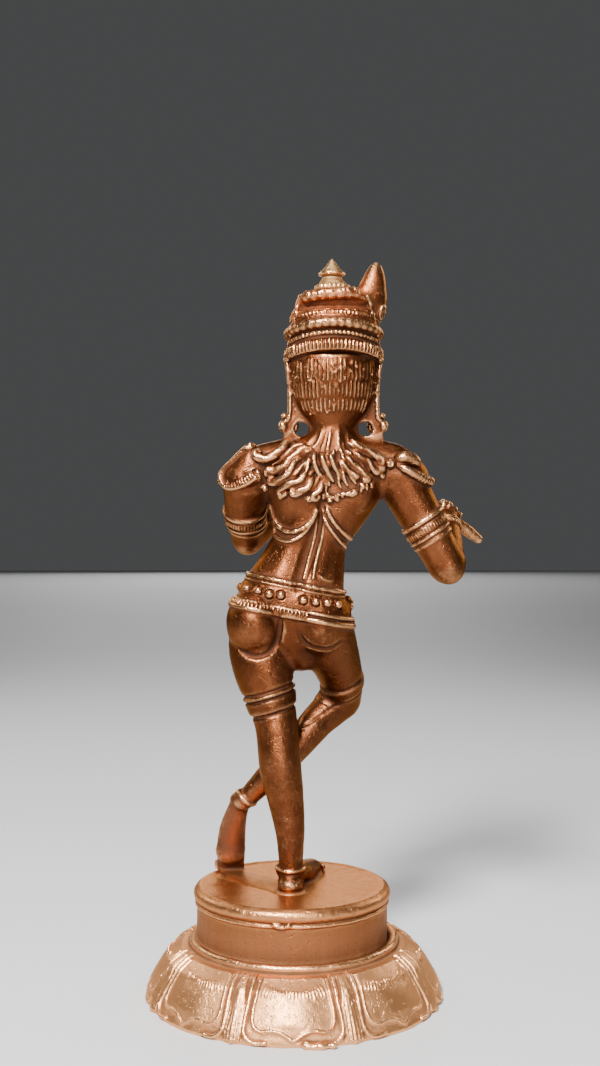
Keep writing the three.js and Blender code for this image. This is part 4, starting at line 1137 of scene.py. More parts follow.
def crown_work(clay, skin):
    """Ribs and bead rows round the crown, its rolls, and a knobbed strip down each side of its back."""
    x, y = CROWN_MIDDLE
    beads(clay, crown_ring(skin, 107.85), 0.8, 0.27, 1.15, 0.4, closed=True, seed=2, unevenness=0.14)
    beads(clay, crown_ring(skin, 110.2), 0.86, 0.4, 0.52, 0.4, closed=True, seed=3, unevenness=0.12)
    cords(clay, [crown_ring(skin, 112.2, 1.05, -0.3)], 0.25, closed=True, notch=(1.5, 0.08))
    beads(clay, crown_ring(skin, 111.5), 0.9, 0.36, 0.42, 0.36, closed=True, seed=9, unevenness=0.2)
    cords(clay, [crown_ring(skin, 114.0, 0.22)], closed=True)
    beads(clay, crown_ring(skin, 114.85), 0.8, 0.36, 0.5, 0.38, closed=True, seed=4, unevenness=0.15)
    recess = traced(skin, [(-0.9, 117.3), (-4.2, 117.4), (-7.8, 117.5), (-11.6, 117.6), (-14.8, 117.7)])
    groove(clay, recess, 0.85, 0.3, 0.4)
    roll = traced(skin, [(-1.3, 118.9), (-4.2, 119.2), (-7.6, 119.4), (-10.8, 119.6), (-13.4, 119.7)])
    cords(clay, [faded(laid(roll, 1.15), 3)], 0.3, notch=(1.7, 0.07))
    beads(clay, laid(roll[2:-2], 1.0, 0.95), 0.85, 0.42, 0.6, 0.35, seed=8, unevenness=0.3)
    knobs = girdle(skin, [x, y, 121.8], UP, step=6)
    beads(clay, laid(knobs), 0.95, 0.42, 0.5, 0.42, closed=True, seed=5, unevenness=0.2)
    cords(clay, [laid(girdle(skin, [HEAD_X, 0, 106.0], UP, 186, 354), 0.75, 0.1)], 0.3)
    petals = girdle(skin, [x, y, 116.6], UP, 172, 368, 3)
    beads(clay, laid(petals, 1.0, -0.1), 2.1, 0.95, 1.5, 0.5, soft=0.15)
    beads(clay, laid(petals, 1.0, 0.1), 2.1, 0.85, 1.4, 0.9, soft=0.1, kind="rim")
    for at in mirrored(x):
        strip = [at(8.9, 109.6), at(8.4, 112.6), at(7.8, 114.8), at(7.3, 118.0), at(6.7, 119.3)]
        places = traced(skin, strip)
        cords(clay, [laid(places, 0.5, -0.05)], 0.15, notch=(1.1, 0.18))
        beads(clay, laid(places, 1.0, 0.1), 1.0, 0.5, 0.5, 0.45, seed=6, unevenness=0.35)
        lower = traced(skin, [at(9.3, 106.8), at(9.35, 108.4), at(8.9, 109.8)])
        beads(clay, laid(lower), 0.9, 0.45, 0.45, 0.35, seed=12, unevenness=0.3)


def seat_folds(clay, skin):
    """The folds beside and under the seat."""
    left = [(2.7, 56.4), (2.7, 53.4), (3.2, 50.6), (4.6, 48.3), (7.0, 47.2), (9.8, 47.7), (11.6, 49.0)]
    right = [(-0.8, 52.4), (-2.0, 50.0), (-4.6, 48.6), (-7.6, 48.7), (-9.8, 50.2)]
    groove(clay, traced(skin, left), 0.34, 0.05, 0.6, 8)
    groove(clay, traced(skin, right), 0.3, 0.1, 0.6, 8)


# Studs on the belt's back as (x, z), in two groups with a plain stretch between them
STUDS = [(9.2, 60.3), (6.97, 60.0), (4.77, 59.5), (2.57, 59.3),
         (-1.83, 58.3), (-4.2, 58.0), (-6.5, 57.6), (-8.6, 57.2)]
STUD_LINE = 0.4
HATCH_LINE = -2.35


def belt_place(rise):
    return np.array(BELT_POINT) + unit(BELT_NORMAL) * rise


def belt_ring(skin, rise, first=0.0, last=360.0, step=4.0):
    return girdle(skin, belt_place(rise), BELT_NORMAL, first, last, step)


def belt(clay, skin):
    """A lower roll with a hatched ridge over it, a band of ringed studs and a roped upper roll."""
    clay.band(belt_place(STUD_LINE), BELT_NORMAL, 1.75, 0.25, 15, 0.1)
    for rise, girth, lift, soft, notch in ((-3.1, 0.7, -0.1, 0.2, ()), (-1.8, 0.42, 0.15, 0.1, (0.8, 0.12)),
                                           (2.35, 0.3, 0.15, 0.1, ()), (3.3, 0.55, 0.05, 0.1, (0.85, 0.14))):
        cords(clay, [laid(belt_ring(skin, rise), girth, lift)], soft, closed=True, notch=notch)
    studs = [skin.side(x, z, BACK) for x, z in STUDS] + belt_ring(skin, STUD_LINE, 186, 354, 11.4)
    for place, out in studs:
        clay.add(hoop(place + out * 0.15, out, 1.22, 0.2), 0.06)
        clay.cut(hoop(place + out * 0.1, out, 0.98, 0.12), 0.05)
        egg(clay, place + out * 0.4, [0.86, 0.86, 0.86], 0.02)
    for first, last in ((18, 118), (190, 350)):
        beads(clay, laid(belt_ring(skin, HATCH_LINE, first, last), 1.0, 0.1), 0.74, 0.27, 0.85, 0.7)


def faded(path, ends=5):
    """The same path with both ends sunk and thinned away."""
    count = len(path)
    for index, row in enumerate(path):
        share = min(1.0, (min(index, count - 1 - index) + 0.5) / ends)
        row[:3] = [value - out * (1 - share) * (row[3] + 0.3) for value, out in zip(row[:3], row[4:])]
        row[3] *= 0.4 + 0.6 * share
    return path


def back_ornaments(clay, skin):
    """Looped strings under the shoulder blades and the doubled cord down the spine."""
    left = [(-4.6, 77.4), (-3.2, 73.4), (-1.2, 71.0), (1.2, 70.0), (3.4, 70.9), (4.9, 73.4),
            (5.6, 76.6), (5.9, 78.6)]
    inner = [(-5.0, 78.0), (-3.8, 74.6), (-1.8, 72.6), (0.6, 71.9), (2.7, 72.8), (4.1, 75.0), (4.9, 77.6)]
    right = [(-5.4, 78.0), (-6.4, 74.2), (-8.2, 71.2), (-10.4, 68.8), (-12.0, 67.7)]
    outer = [(-6.0, 78.2), (-7.4, 74.8), (-9.4, 72.2), (-11.8, 70.4), (-13.2, 69.8)]
    cords(clay, [faded(laid(traced(skin, line), 0.42, 0.12)) for line in (left, right)], 0.2)
    edges = [faded(laid(traced(skin, line), 0.52, 0.08)) for line in (inner, outer)]
    cords(clay, edges, 0.2, notch=(0.78, 0.16))
    spine = [[(-5.6 + shift, 76), (-4.9 + shift, 71), (-3.7 + shift, 66), (-2.9 + shift * 1.2, 62.4)]
             for shift in (-0.75, 0.75)]
    cords(clay, [laid(traced(skin, line), 0.34, 0.05) for line in spine], 0.25)
    fold = traced(skin, [(-4.4, 64.4), (-5.4, 62.9), (-7.2, 62.1), (-9.2, 62.4)])
    cords(clay, [faded(laid(fold, 0.4, -0.05))], 0.5)


PLATE_OUT = unit([0.47, 0.85, 0.24])
PLATE_MIDDLE = np.array([10.6, 84.6])
PLATE_RIM = [(8.6, 89.7), (10.2, 88.7), (12.6, 86.4), (14.8, 84.1), (15.0, 82.5), (13.9, 81.1), (12.1, 80.8),
             (9.8, 81.5), (7.5, 82.9)]
PLATE_SUNK = -0.9
SHOULDER_OUT = unit([-0.5, 0.35, -0.2])


def on_plate(x, z, lift):
    """A place on the flat plate of the left shoulder."""
    y = 3.2 - (PLATE_OUT[0] * (x - 9.9) + PLATE_OUT[2] * (z - 88.9)) / PLATE_OUT[1]
    return np.array([x, y, z]) + PLATE_OUT * lift


def plate_line(points, girth, lift):
    return [[*on_plate(x, z, lift), girth, *PLATE_OUT] for x, z in drawn(points, 0.4)]


def shoulder_ornaments(clay, skin):
    """A flat plate with a ribbed edge on the left shoulder, a lobe over a ribbed band on the right one."""
    slab = clay.lump([5, -3, 79], [16, 9, 91])
    middle = on_plate(*PLATE_MIDDLE, PLATE_SUNK)
    for place in drawn(PLATE_RIM, 0.4):
        tip = PLATE_MIDDLE + (place - PLATE_MIDDLE) * 0.9
        slab.add(cone(middle, on_plate(*tip, PLATE_SUNK), 0.95, 0.95))
    clay.join(slab, 0.25)
    cords(clay, [plate_line(PLATE_RIM, 0.5, -0.15)], 0.12)
    lines = [plate_line([(13.9, 83.3), (13.2, 82.8), (11.4, 83.0), (9.4, 84.0), (7.8, 85.0)], 0.3, 0.1),
             plate_line([(13.6, 84.5), (13.0, 83.8), (11.4, 84.0), (9.6, 85.0), (8.0, 86.0)], 0.22, 0.1)]
    cords(clay, [faded(line) for line in lines], 0.12)
    ribs = plate_line([(13.4, 81.8), (12.0, 81.5), (10.0, 82.3), (8.2, 83.5)], 1.0, 0.1)
    beads(clay, ribs, 0.58, 0.21, 0.85, 0.5, soft=0.05, unevenness=0.15)
    egg(clay, on_plate(9.1, 88.9, 0.1), [1.1, 0.45, 0.45], 0.15)
    lobe = traced(skin, [(-19.8, 86.2), (-22.0, 86.6), (-24.2, 85.9), (-25.6, 84.7)])
    cords(clay, [faded(laid(lobe, 1.35, 0.5))], 0.25)
    band = smooth_path([[-21.4, 5.5, 85.1], [-22.6, 5.6, 84.4], [-24.8, 5.0, 83.2], [-26.8, 3.6, 82.3],
                        [-27.8, 1.4, 82.2], [-27.4, -1.6, 82.8], [-25.6, -4.0, 83.9], [-22.8, -5.0, 85.2],
                        [-20.4, -5.0, 86.2]], 0.3)
    cords(clay, [faded([[*place, 0.9, *SHOULDER_OUT] for place in band])], 0.2)
    slanted = [[*place, 1.0, *SHOULDER_OUT] for place in (band + SHOULDER_OUT * 0.25)[2:-2]]
    beads(clay, slanted, 0.72, 0.26, 0.98, 0.85, soft=0.05, unevenness=0.12)
    front = smooth_path([[14.6, 2.0, 82.3], [14.9, -0.4, 82.3], [14.2, -2.8, 82.4], [12.0, -4.8, 83.0],
                         [9.0, -5.4, 84.4], [7.0, -5.2, 85.8]], 0.3)
    cords(clay, [faded([[*place, 0.75, *PLATE_OUT] for place in front])], 0.15, notch=(0.74, 0.13))


# Limb ornaments as a point on the limb's axis and the axis
ARMLETS = [([-27.4, 0.3, 73.0], [-0.54, -0.03, -0.84]), ([10.1, -4.8, 75.2], [-0.02, -0.62, -0.78])]
BRACELETS = [([-5.0, -14.5, 82.3], [-0.74, -0.14, 0.65]), ([-32.8, -11.2, 73.2], [-0.12, -0.79, 0.6])]
LEFT_HEM = [0.30, 0.05, 1.0]
RIGHT_KNEE = np.array([-9.3, -6.2, 40.2])
RIGHT_HEM = unit([0.3, 0.55, 0.8])


def ring_cord(clay, skin, point, axis, along, girth, lift, soft=0.15, step=5.0):
    """A cord around a limb, some way along its axis from a point."""
    cords(clay, [laid(ring_at(skin, point, axis, along, step), girth, lift)], soft, closed=True)


def ring_at(skin, point, axis, along=0.0, step=5.0):
    return girdle(skin, np.array(point) + unit(axis) * along, axis, step=step)


def ring_groove(clay, places, size):
    groove(clay, places + places[:1], size, 0.1, 0.3)


def limb_rings(clay, skin):
    """Armlets, bracelets, anklets and the hems above the knees."""
    for point, axis in ARMLETS:
        clay.band(point, axis, 0.95, 0.3, 6.5, 0.1)
        beads(clay, laid(ring_at(skin, point, axis), 1.0, 0.3), 0.62, 0.22, 0.85, 0.24, closed=True)
        edges = [laid(ring_at(skin, point, axis, along), girth, lift)
                 for along, girth, lift in ((-1.75, 0.6, -0.05), (1.5, 0.36, 0.1))]
        cords(clay, edges, closed=True)
        ring_cord(clay, skin, point, axis, 2.7, 0.45, -0.15, 0.5)
    for point, axis in BRACELETS:
        for along in (-0.8, 0.3):
            ring_cord(clay, skin, point, axis, along, 0.5, 0.1, step=10)
    clay.band([4.7, 2.9, 38.0], LEFT_HEM, 1.8, 0.3, 8, 0.4)
    for z, size in ((40.3, 0.32), (38.9, 0.2), (35.6, 0.3)):
        ring_groove(clay, girdle(skin, [4.6, 2.9, z], LEFT_HEM), size)
    clay.band(RIGHT_KNEE, RIGHT_HEM, 1.3, 0.22, 5.6, 0.4)
    for shift in (1.7, -1.7):
        ring_groove(clay, girdle(skin, RIGHT_KNEE + RIGHT_HEM * shift, RIGHT_HEM), 0.26)
    ring_cord(clay, skin, [0.6, 5.6, 4.6], [0, 0.1, 1], 0, 0.4, 0.0, 0.2, 8)
    ring_cord(clay, skin, [9.9, -4.0, 16.9], [0.62, -0.2, -0.72], 0, 0.4, -0.1, 0.4, 8)


# Necklaces as (lowest height, half width, bead size), and where they go over the shoulders
NECKLACES = [(84.4, 5.0, 0.6), (81.8, 6.4, 0.55), (75.0, 8.6, 0.5)]
NECKLACE_MIDDLE = -7.0
NECKLACE_TOP = 90.8
NECKLACE_TURN = 2.05
CORDED_ABOVE = 80


def chest_ornaments(clay, skin):
    """Three rows of beads, a pendant and the thread over the left shoulder, all on the front."""
    for low, spread, size in NECKLACES:
        turns = np.linspace(-NECKLACE_TURN, NECKLACE_TURN, 15)
        drop = (np.cos(turns) - math.cos(NECKLACE_TURN)) / (1 - math.cos(NECKLACE_TURN))
        heights = NECKLACE_TOP - (NECKLACE_TOP - low) * drop
        points = list(zip(NECKLACE_MIDDLE + spread * np.sin(turns), heights))
        path = laid(traced(skin, points, FRONT), 1.0, 0.2)
        beads(clay, path, size * 1.75, size * 0.85, size * 0.85, size * 0.8, unevenness=0.1)
        if low > CORDED_ABOVE:
            under = traced(skin, [(x, z - 1.0) for x, z in points[2:-2]], FRONT)
            cords(clay, [faded(laid(under, 0.3, 0.1))])
    pendant, out = skin.side(NECKLACE_MIDDLE, 79.9, FRONT)
    egg(clay, pendant + out * 0.3, [1.1, 0.7, 1.3], 0.1)
    egg(clay, pendant + out * 0.9, [0.5, 0.4, 0.6], 0.05)
    thread = [(7.6, 89.0), (5.4, 87.6), (3.2, 85.6), (0.2, 80.5), (-3.8, 74.0), (-7.2, 69.0),
              (-8.8, 64.5), (-9.2, 60.5)]
    lines = [traced(skin, [(x + shift, z) for x, z in thread], FRONT) for shift in (-0.36, 0.36)]
    cords(clay, [faded(laid(line, 0.27, 0.1)) for line in lines])
    for x in (-1.6, -12.2):
        place, out = skin.side(x, 80.0, FRONT)
        egg(clay, place + out * 0.1, [0.5, 0.5, 0.5], 0.15)


def waist_cloth(clay, skin):
    """Pleats that hang from the clasp in front, cloth folds over the thighs and a tied end at each hip."""
    limb(clay, [[0.3, -3.2, 56, 3.0], [0.3, -3.4, 51, 3.0], [0.2, -3.2, 48.4, 2.6]], 0.8)
    for shift in (-2.4, -1.2, 0.0, 1.2, 2.4):
        long = 48.0 - 0.4 * abs(shift)
        limb(clay, [[0.2 + shift * 0.7, -5.6, 55.5, 0.8], [0.1 + shift * 1.0, -6.2, 52, 0.85],
                    [0.0 + shift * 1.35, -5.7, long, 0.9], [0.0 + shift * 1.5, -5.2, long - 1.4, 0.5]], 0.2)
    egg(clay, [0.1, -6.6, 57.8], [2.3, 1.3, 2.1], 0.3)
    clay.add(hoop([0.1, -7.5, 57.8], [0, 1, 0], 1.45, 0.32), 0.1)
    egg(clay, [0.1, -7.7, 57.8], [0.8, 0.6, 0.8], 0.05)
    folds = []
    for over, beside in zip(mirrored(0.4), mirrored(0.6)):
        for drop in range(4):
            places = traced(skin, [over(2.4, 53.5 - drop * 1.6), over(5.2, 51.0 - drop * 2.2),
                                   over(8.6, 51.6 - drop * 2.0)], FRONT)
            folds.append(laid(places, lock_girths(len(places), 0.42, 0.3)))
        tie = [beside(11.0, -1.4, 57.4, 1.0), beside(12.0, -2.0, 53.0, 0.8), beside(12.1, -2.4, 49.2, 0.9),
               beside(11.8, -2.8, 46.2, 1.2), beside(11.6, -3.0, 45.0, 0.6)]
        limb(clay, tie, 0.3, np.array([1.0, 0, 0]), 0.6)
        egg(clay, beside(11.3, -1.4, 57.6), [1.5, 1.3, 1.3], 0.2)
    cords(clay, folds, 0.35)


# Lines on one petal as (across, fall), for the half on the figure's left
PETAL_FIELD = [(-0.66, 0.06), (-0.68, 0.28), (-0.70, 0.52), (-0.66, 0.70), (-0.52, 0.78), (-0.36, 0.76),
               (-0.18, 0.79), (0.0, 0.90)]
PETAL_BORDER = [(-0.80, 0.03), (-0.80, 0.35), (-0.82, 0.62), (-0.80, 0.82), (-0.66, 0.94), (-0.42, 0.93)]
HATCH = {"Spacing": 0.62, "Along": 0.17, "Across": 1.15, "Height": 0.2, "Unevenness": 0.25, "Seed": 3}
# The rope on the collar: its radius round the plinth, its height and its girth
ROPE = (20.5, -10.7, 0.72)
ROPE_PLACES = 160


def lotus_line(points, girth, lift=0.05):
    line = drawn([(across * 10, fall * 10) for across, fall in points], 0.36)
    return laid([on_lotus(across / 10, fall / 10) for across, fall in line], girth, lift)


def lotus_carving(clay):
    """Petal outlines, hatch marks and pleats, carved once and repeated round the plinth."""
    ridges = []
    for side in (-1, 1):
        ridges.append(lotus_line([(a * side, f) for a, f in PETAL_FIELD], 0.3))
        ridges.append(lotus_line([(a * side, f) for a, f in PETAL_BORDER], 0.42, 0.1))
        for top, pleat in ((0.955, 0.89), (0.98, 0.95)):
            line = [(top * side, 0.04), (pleat * side, 0.45), (pleat * side * 0.985, 0.95)]
            ridges.append(lotus_line(line, 0.28, 0.1))
    ridges.append(lotus_line([(1.0, 0.04), (1.0, 0.5), (1.0, 0.98)], 0.34, 0.1))
    petal = grown(trees["cord"], lines_mesh(ridges), {})
    press(clay, grown(trees["wreath"], petal, {}), 0.22)
    hatch = lotus_line([(-0.56, 0.2), (-0.3, 0.24), (0.0, 0.26), (0.3, 0.24), (0.56, 0.2)], 1.0, -0.03)
    marks = grown(trees["bead"], lines_mesh([hatch]), HATCH)
    press(clay, grown(trees["wreath"], marks, {}), 0.15)
    radius, z, girth = ROPE
    rope = [[radius * math.cos(t), radius * math.sin(t), z, girth, math.cos(t), math.sin(t), 0.3]
            for t in np.linspace(0, 2 * math.pi, ROPE_PLACES, endpoint=False)]
    cords(clay, [rope], 0.3, closed=True, notch=(0.9, 0.12))


# The casting: one mesh from the clay of each piece, with its edges and sheltered places noted for the finish

NOISE_SIZE = 64
# Soft unevenness of the cast skin as (height, scale, seed)
SKIN_LUMPS = ((0.035, 0.9, 11), (0.03, 0.45, 12), (0.04, 2.3, 13))


def blurred(values, size):
    """A box blur over size samples to each side, twice along each axis."""
    width = 2 * size + 1
    for axis in (0, 1, 2):
        for _ in range(2):
            sides = [(size + 1, size) if a == axis else (0, 0) for a in range(3)]
            padded = np.pad(values, sides, mode="edge")
            total = np.cumsum(padded, axis=axis, dtype=np.float64)
            ahead = np.take(total, range(width, total.shape[axis]), axis=axis)
            behind = np.take(total, range(0, total.shape[axis] - width), axis=axis)
            values = ((ahead - behind) / width).astype(np.float32)
    return values


def sampled(values, places):
    """Values of a lattice at places given in its own steps, read between the samples."""
    places = np.clip(places, 0, np.array(values.shape) - PAST_LAST)
    base = places.astype(int)
    share = places - base
    total = np.zeros(len(places))
    for corner in np.ndindex(2, 2, 2):
        weight = np.prod(np.where(corner, share, 1 - share), axis=1)
        total += weight * values[tuple((base + corner).T)]
    return total


def bump_noise(places, scale, seed):
    """Soft lumps of about one scale, between -1 and 1, from a lattice of random values."""
    lattice = np.random.default_rng(seed).uniform(-1, 1, (NOISE_SIZE,) * 3).astype(np.float32)
    return sampled(lattice, (places / scale) % (NOISE_SIZE - 2))


def casting_mesh(clay):
    grid = openvdb.FloatGrid(FAR)
    grid.copyFromArray(clay.depth)
    points, quads = grid.convertToQuads()
    mesh = bpy.data.meshes.new("casting")
    mesh.from_pydata(points.tolist(), [], quads.tolist())
    return mesh


def fullness(clay, reach, points):
    """How full of metal the surroundings of points are, out to about a reach."""
    coarse = 2 * STEP
    full = np.clip(0.5 - clay.depth[::2, ::2, ::2] / coarse, 0, 1)
    return sampled(blurred(full, max(1, round(reach / coarse))), points / 2)


def thinned(mesh, most):
    """The same surface with fewer triangles."""
    mesh.calc_loop_triangles()
    ratio = min(1.0, most / len(mesh.loop_triangles))
    return altered(mesh, "DECIMATE", {"ratio": ratio, "use_collapse_triangulate": True}, {})


def cast(clay, name):
    """A piece of metal made from the clay, with its edges and sheltered places noted at each point."""
    mesh = thinned(casting_mesh(clay), MOST_TRIANGLES)
    points = read(mesh.vertices, "co").astype(float)
    edge = np.clip((0.5 - fullness(clay, EDGE_REACH, points)) * EDGE_CONTRAST + 0.5, 0, 1)
    shelter = np.clip((fullness(clay, SHELTER_REACH, points) - 0.5) * SHELTER_CONTRAST + 0.5, 0, 1)
    places = (points + clay.first) * STEP
    rough = sum(height * bump_noise(places, scale, seed) for height, scale, seed in SKIN_LUMPS)
    places = places + read(mesh.vertices, "normal") * rough[:, None]
    places[:, 2] = np.maximum(places[:, 2], FOOT_LINE)
    mesh.vertices.foreach_set("co", ((places + [0, 0, PLINTH_HEIGHT]) * MM).astype(np.float32).ravel())
    note(mesh, "edge", edge)
    note(mesh, "shelter", shelter)
    mesh.shade_smooth()
    mesh.update()
    mesh.name = name
    mesh.materials.clear()
    mesh.materials.append(copper)
    return shown(name, mesh)


# The finish: worn copper, brown with tarnish, grime and painted shade in the hollows and pale with wear and
# painted highlights on the edges


def speckle(tree, scale, detail, rough=0.6, stretch=(1.0, 1.0, 1.0)):
    """Noise over the piece. The scale counts lumps in a centimetre."""
    place = put(tree, "ShaderNodeTexCoord", take="Object")
    mapped = put(tree, "ShaderNodeMapping", {"Vector": place, "Scale": stretch})
    wires = {"Vector": mapped, "Scale": scale * 100, "Detail": detail, "Roughness": rough}
    return put(tree, "ShaderNodeTexNoise", wires)


def ramp(tree, value, low, high, top=1.0):
    """Rises smoothly from 0 to the top while the value goes from low to high."""
    wires = {"Value": value, "From Min": low, "From Max": high, "To Min": 0.0, "To Max": top}
    return put(tree, "ShaderNodeMapRange", wires, "Result", interpolation_type="SMOOTHSTEP")


def blend(tree, share, first, second):
    """The first colour, and by the share the second."""
    node = tree.nodes.new("ShaderNodeMix")
    node.data_type = "RGBA"
    sockets = {item.identifier: item for item in [*node.inputs, *node.outputs]}
    for name, value in (("Factor_Float", share), ("A_Color", first), ("B_Color", second)):
        if isinstance(value, Wire):
            tree.links.new(value.socket, sockets[name])
        else:
            sockets[name].default_value = (*value, 1.0)
    return Wire(tree, sockets["Result_Color"])


def wear_group():
    """Where metal is worn bright and painted with highlights, and where grime, dark tarnish and painted shade
    lie.
    """
    group = Group("wear", "ShaderNodeTree", {}, {"RubbedAndHighlight": "Float", "TarnishAndShade": "Float", "DirtAndShade": "Float"})
    tree = group.tree
    edge = put(tree, "ShaderNodeAttribute", take="Fac", attribute_name="edge")
    shelter = put(tree, "ShaderNodeAttribute", take="Fac", attribute_name="shelter")
    uneven = speckle(tree, 4.0, 4.0) - 0.5
    fine = speckle(tree, 16.0, 3.0) - 0.5
    broad = speckle(tree, 1.1, 5.0) - 0.5
    # Pale on raised edges: wear, and painted highlight
    group.output("RubbedAndHighlight", ramp(tree, edge + uneven * 0.22 + fine * 0.2, 0.57, 1.0))
    # Dark in the creases: grime, and painted shade
    group.output("DirtAndShade", ramp(tree, 1.0 - edge + uneven * 0.35, 0.52, 0.95))
    # Dark in sheltered places: tarnish, and painted shade
    group.output("TarnishAndShade", ramp(tree, shelter + broad * 0.9, 0.42, 1.0))
    return tree


def grain_group():
    """Height of the fine cast skin: grain, pits and light scratches."""
    group = Group("cast_grain", "ShaderNodeTree", {"Pits": ("Float", 0.5)}, {"Height": "Float"})
    tree = group.tree
    skin = speckle(tree, 30.0, 4.0, 0.7) * 0.5 + speckle(tree, 7.0, 3.0) * 0.6
    pits = ramp(tree, speckle(tree, 11.0, 2.0), 0.30, 0.42)
    scratches = ramp(tree, speckle(tree, 9.0, 2.0, 0.5, (6.0, 0.6, 1.2)), 0.28, 0.36)
    group.output("Height", skin + pits * group.input("Pits") + scratches * 0.18)
    return tree


def zone(tree, *limits):
    """Where every limit (axis, where it begins, where it is full) holds, in millimetres."""
    place = put(tree, "ShaderNodeTexCoord", take="Object")
    axes = put(tree, "ShaderNodeSeparateXYZ", {0: place})
    masks = []
    for axis, begin, full in limits:
        rise = PLINTH_HEIGHT if axis == "Z" else 0
        masks.append(ramp(tree, axes.beside(axis), (begin + rise) * MM, (full + rise) * MM))
    return math.prod(masks[1:], start=masks[0])


def group_node(tree, group):
    node = tree.nodes.new("ShaderNodeGroup")
    node.node_tree = group
    return {socket.name: Wire(tree, socket) for socket in node.outputs}


def node_of(tree, kind):
    return next(node for node in tree.nodes if node.type == kind)


def copper_finish():
    material = bpy.data.materials.new("cast_copper")
    material.use_nodes = True
    tree = material.node_tree
    wear = group_node(tree, wear_group())
    grain = group_node(tree, grain_group())
    crown_zone = zone(tree, ("Z", 114, 117), ("X", HEAD_X - 7.2, HEAD_X - 6.0))
    finial_zone = zone(tree, ("Z", 120.5, 122), ("X", HEAD_X - 4.8, HEAD_X - 3.6))
    knee_zone = zone(tree, ("Z", 52, 46), ("Z", 24, 30))
    # Painted shade on the right leg, partly tarnish
    right_leg_painted_shade = zone(tree, ("X", 1.5, -2.5), ("Z", 54, 47), ("Z", 22, 27))
    # Painted shade on the right foot behind the standing leg: darker, greyer and duller metal
    right_foot_painted_shade = zone(tree, ("X", 6.0, 9.0), ("Z", 20, 13), ("Z", 0.3, 1.0))
    base_zone = zone(tree, ("Z", 0.9, 0.25))
    wall_zone = zone(tree, ("Z", -3.5, -4.3), ("Z", -10.6, -9.6))
    wall_foot = zone(tree, ("Z", -6.5, -10.5))
    lotus_zone = zone(tree, ("Z", -9.2, -11.4))
    # Dark tarnish with painted shade in sheltered places, weaker on the plinth and in the crown's recess
    dark = wear["TarnishAndShade"] * (0.6 - (base_zone * 0.48 + crown_zone * 0.35))
    # The pale edges, wear with painted highlight, are calmer at the knees
    rubbed_and_highlight = wear["RubbedAndHighlight"] * (1.0 - knee_zone * 0.6)
    dirt_and_shade = wear["DirtAndShade"]
    mottle = ramp(tree, speckle(tree, 0.7, 4.0), 0.35, 0.68)
    body = blend(tree, mottle, (0.086, 0.024, 0.008), (0.170, 0.055, 0.020))
    for share, colour in (
        (ramp(tree, speckle(tree, 2.6, 4.0), 0.5, 0.72, 0.45), (0.070, 0.018, 0.006)),
        (crown_zone * 0.62, (0.50, 0.135, 0.045)),
        (finial_zone * 0.8, (0.66, 0.40, 0.17)),
        # Dark copper in sheltered places: tarnish, and painted shade
        (dark, (0.056, 0.017, 0.007)),
        # Painted shade on the right leg, partly tarnish
        (right_leg_painted_shade * 0.55, (0.050, 0.016, 0.007)),
        # Painted shade on the right foot: darker and greyer copper
        (right_foot_painted_shade * 0.5, (0.120, 0.044, 0.024)),
        # Lighter copper on the plinth: partly its own tone and partly painted light that brightens its top;
        # the wall is set darker again below
        (base_zone * 0.82, (0.48, 0.19, 0.068)),
        (wall_zone * 0.8, (0.215, 0.074, 0.025)),
        (wall_zone * wall_foot * 0.5, (0.100, 0.034, 0.012)),
        # Lighter copper on the lotus: partly its own tone and partly painted light where it faces the lamps
        (lotus_zone * 0.82, (0.66, 0.31, 0.13)),
        # Pale copper on raised edges: wear, and painted highlight
        (rubbed_and_highlight * 0.56, (0.88, 0.46, 0.21)),
        # Dark copper in the creases: grime, and painted shade
        (dirt_and_shade * (0.85 - wall_zone * 0.45), (0.030, 0.008, 0.003)),
    ):
        body = blend(tree, share, body, colour)
    rough = wear["TarnishAndShade"] * 0.16 + 0.33 - rubbed_and_highlight * 0.14 + lotus_zone * 0.04
    rough = rough + dirt_and_shade * 0.28 + right_foot_painted_shade * 0.12
    metal = 0.96 - dirt_and_shade * 0.5 - right_foot_painted_shade * 0.2
    bump = put(tree, "ShaderNodeBump", {"Strength": 0.8, "Distance": 0.00014, "Height": grain["Height"]})
    shader = node_of(tree, "BSDF_PRINCIPLED")
    for label, wire in (("Base Color", body), ("Roughness", rough), ("Metallic", metal), ("Normal", bump)):
        tree.links.new(wire.socket, shader.inputs[label])
    shader.inputs["Specular Tint"].default_value = (0.85, 0.60, 0.45, 1)
    return material


# The stage, in metres

FLOOR_HALF = 3.0
MIDDLE = (0.0, 0.0, 0.075)
# Lamps as (name, place, size, power, what they point at)
LAMPS = [
    ("key", (0.14, 0.40, 0.44), 0.13, 12.5, MIDDLE),
    ("fill", (-0.42, 0.35, 0.22), 0.4, 0.2, MIDDLE),
    ("low", (-0.10, 0.46, 0.17), 0.2, 1.2, (0.0, 0.03, 0.01)),
    ("top", (0.0, 0.02, 0.60), 0.4, 0.8, MIDDLE),
    ("rim_left", (0.36, -0.30, 0.30), 0.3, 1.1, MIDDLE),
    ("rim_right", (-0.36, -0.30, 0.28), 0.3, 1.0, MIDDLE),
    ("sheen", (0.14, -2.60, 0.86), 1.4, 16.0, (0.0, 0.0, 0.022)),
]


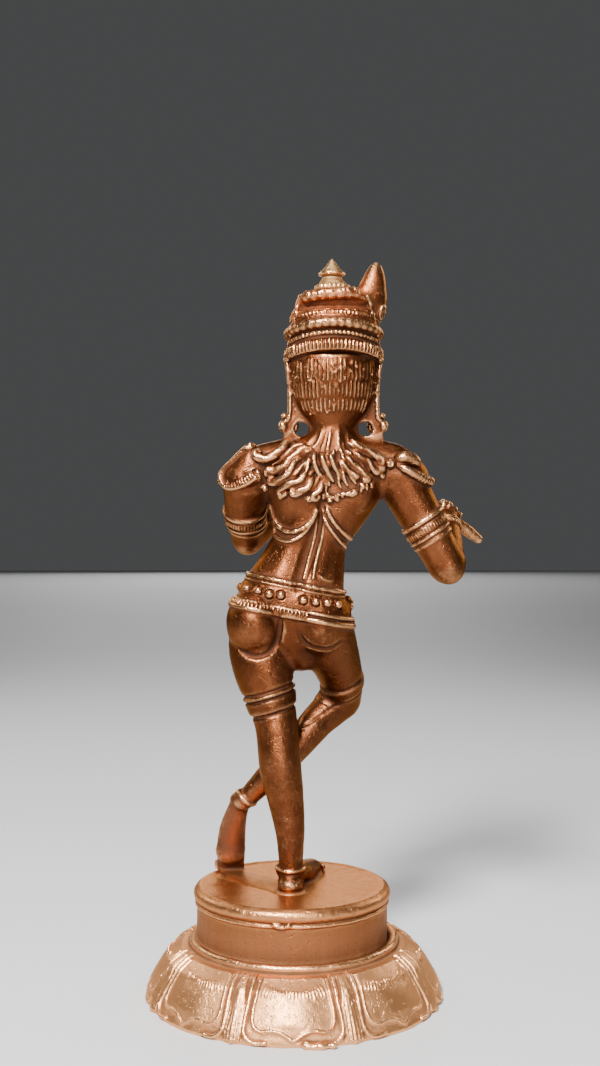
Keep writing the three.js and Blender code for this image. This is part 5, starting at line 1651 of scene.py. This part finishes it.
def pale_floor():
    mesh = bpy.data.meshes.new("floor")
    corners = [(-1, -1), (1, -1), (1, 1), (-1, 1)]
    mesh.from_pydata([(x * FLOOR_HALF, y * FLOOR_HALF, 0) for x, y in corners], [], [(0, 1, 2, 3)])
    material = bpy.data.materials.new("pale_floor")
    material.use_nodes = True
    shader = node_of(material.node_tree, "BSDF_PRINCIPLED")
    shader.inputs["Base Color"].default_value = (0.52, 0.52, 0.52, 1)
    shader.inputs["Roughness"].default_value = 0.6
    mesh.materials.append(material)
    return shown("floor", mesh)


def soft_light(name, place, size, power, aim):
    lamp = bpy.data.lights.new(name, "AREA")
    lamp.shape = "DISK"
    lamp.size = size
    lamp.energy = power
    light = shown(name, lamp)
    light.location = place
    light.rotation_euler = (Vector(place) - Vector(aim)).to_track_quat("Z", "Y").to_euler()
    return light


def studio():
    lights = {name: soft_light(name, *rest) for name, *rest in LAMPS}
    lights["sheen"].visible_camera = False
    world = bpy.data.worlds.new("studio")
    world.use_nodes = True
    background = node_of(world.node_tree, "BACKGROUND")
    background.inputs["Color"].default_value = (0.86, 0.87, 0.89, 1)
    background.inputs["Strength"].default_value = 0.08
    bpy.context.scene.world = world
    lens = bpy.data.cameras.new("camera")
    lens.lens = 44.0
    lens.sensor_width = 36.0
    lens.sensor_fit = "AUTO"
    camera = shown("camera", lens)
    camera.location = (-1.23 * MM, 266.6 * MM, 93.7 * MM)
    camera.rotation_euler = (math.pi / 2, 0, math.pi)
    bpy.context.scene.camera = camera


# The work, from the stance to the last bead

copper = copper_finish()
trees = {
    "cord": cord_tree(),
    "bead": row_tree("beads_on_line", bead_shape),
    "rim": row_tree("rims_on_line", rim_shape),
    "wreath": wreath_tree(),
}

figure = Clay([-43, -21, -2.4], [17.5, 15, 129])
trunk(figure)
chest = Skin(figure)
for form in (legs, feet, arms, flute):
    form(figure)
hand(figure, LEFT_FOREARM[-1][:3], 0.27, 1)
hand(figure, RIGHT_FOREARM[-1][:3], 0.8, -1)
for form in (head, hair_block, crown, nape):
    form(figure)
chest_ornaments(figure, chest)
for ornament in (seat_folds, belt, back_ornaments, waist_cloth, limb_rings, shoulder_ornaments, head_hair,
                 crown_work, hair_fall):
    ornament(figure, Skin(figure))

base = Clay([-32, -32, -22.6], [32, 32, 2])
plinth(base)
lotus_carving(base)

pieces = [cast(figure, "krishna_figure_casting"), cast(base, "krishna_figure_plinth")]
for piece in pieces:
    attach(piece, "root")
    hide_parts(NODE)
pale_floor()
studio()
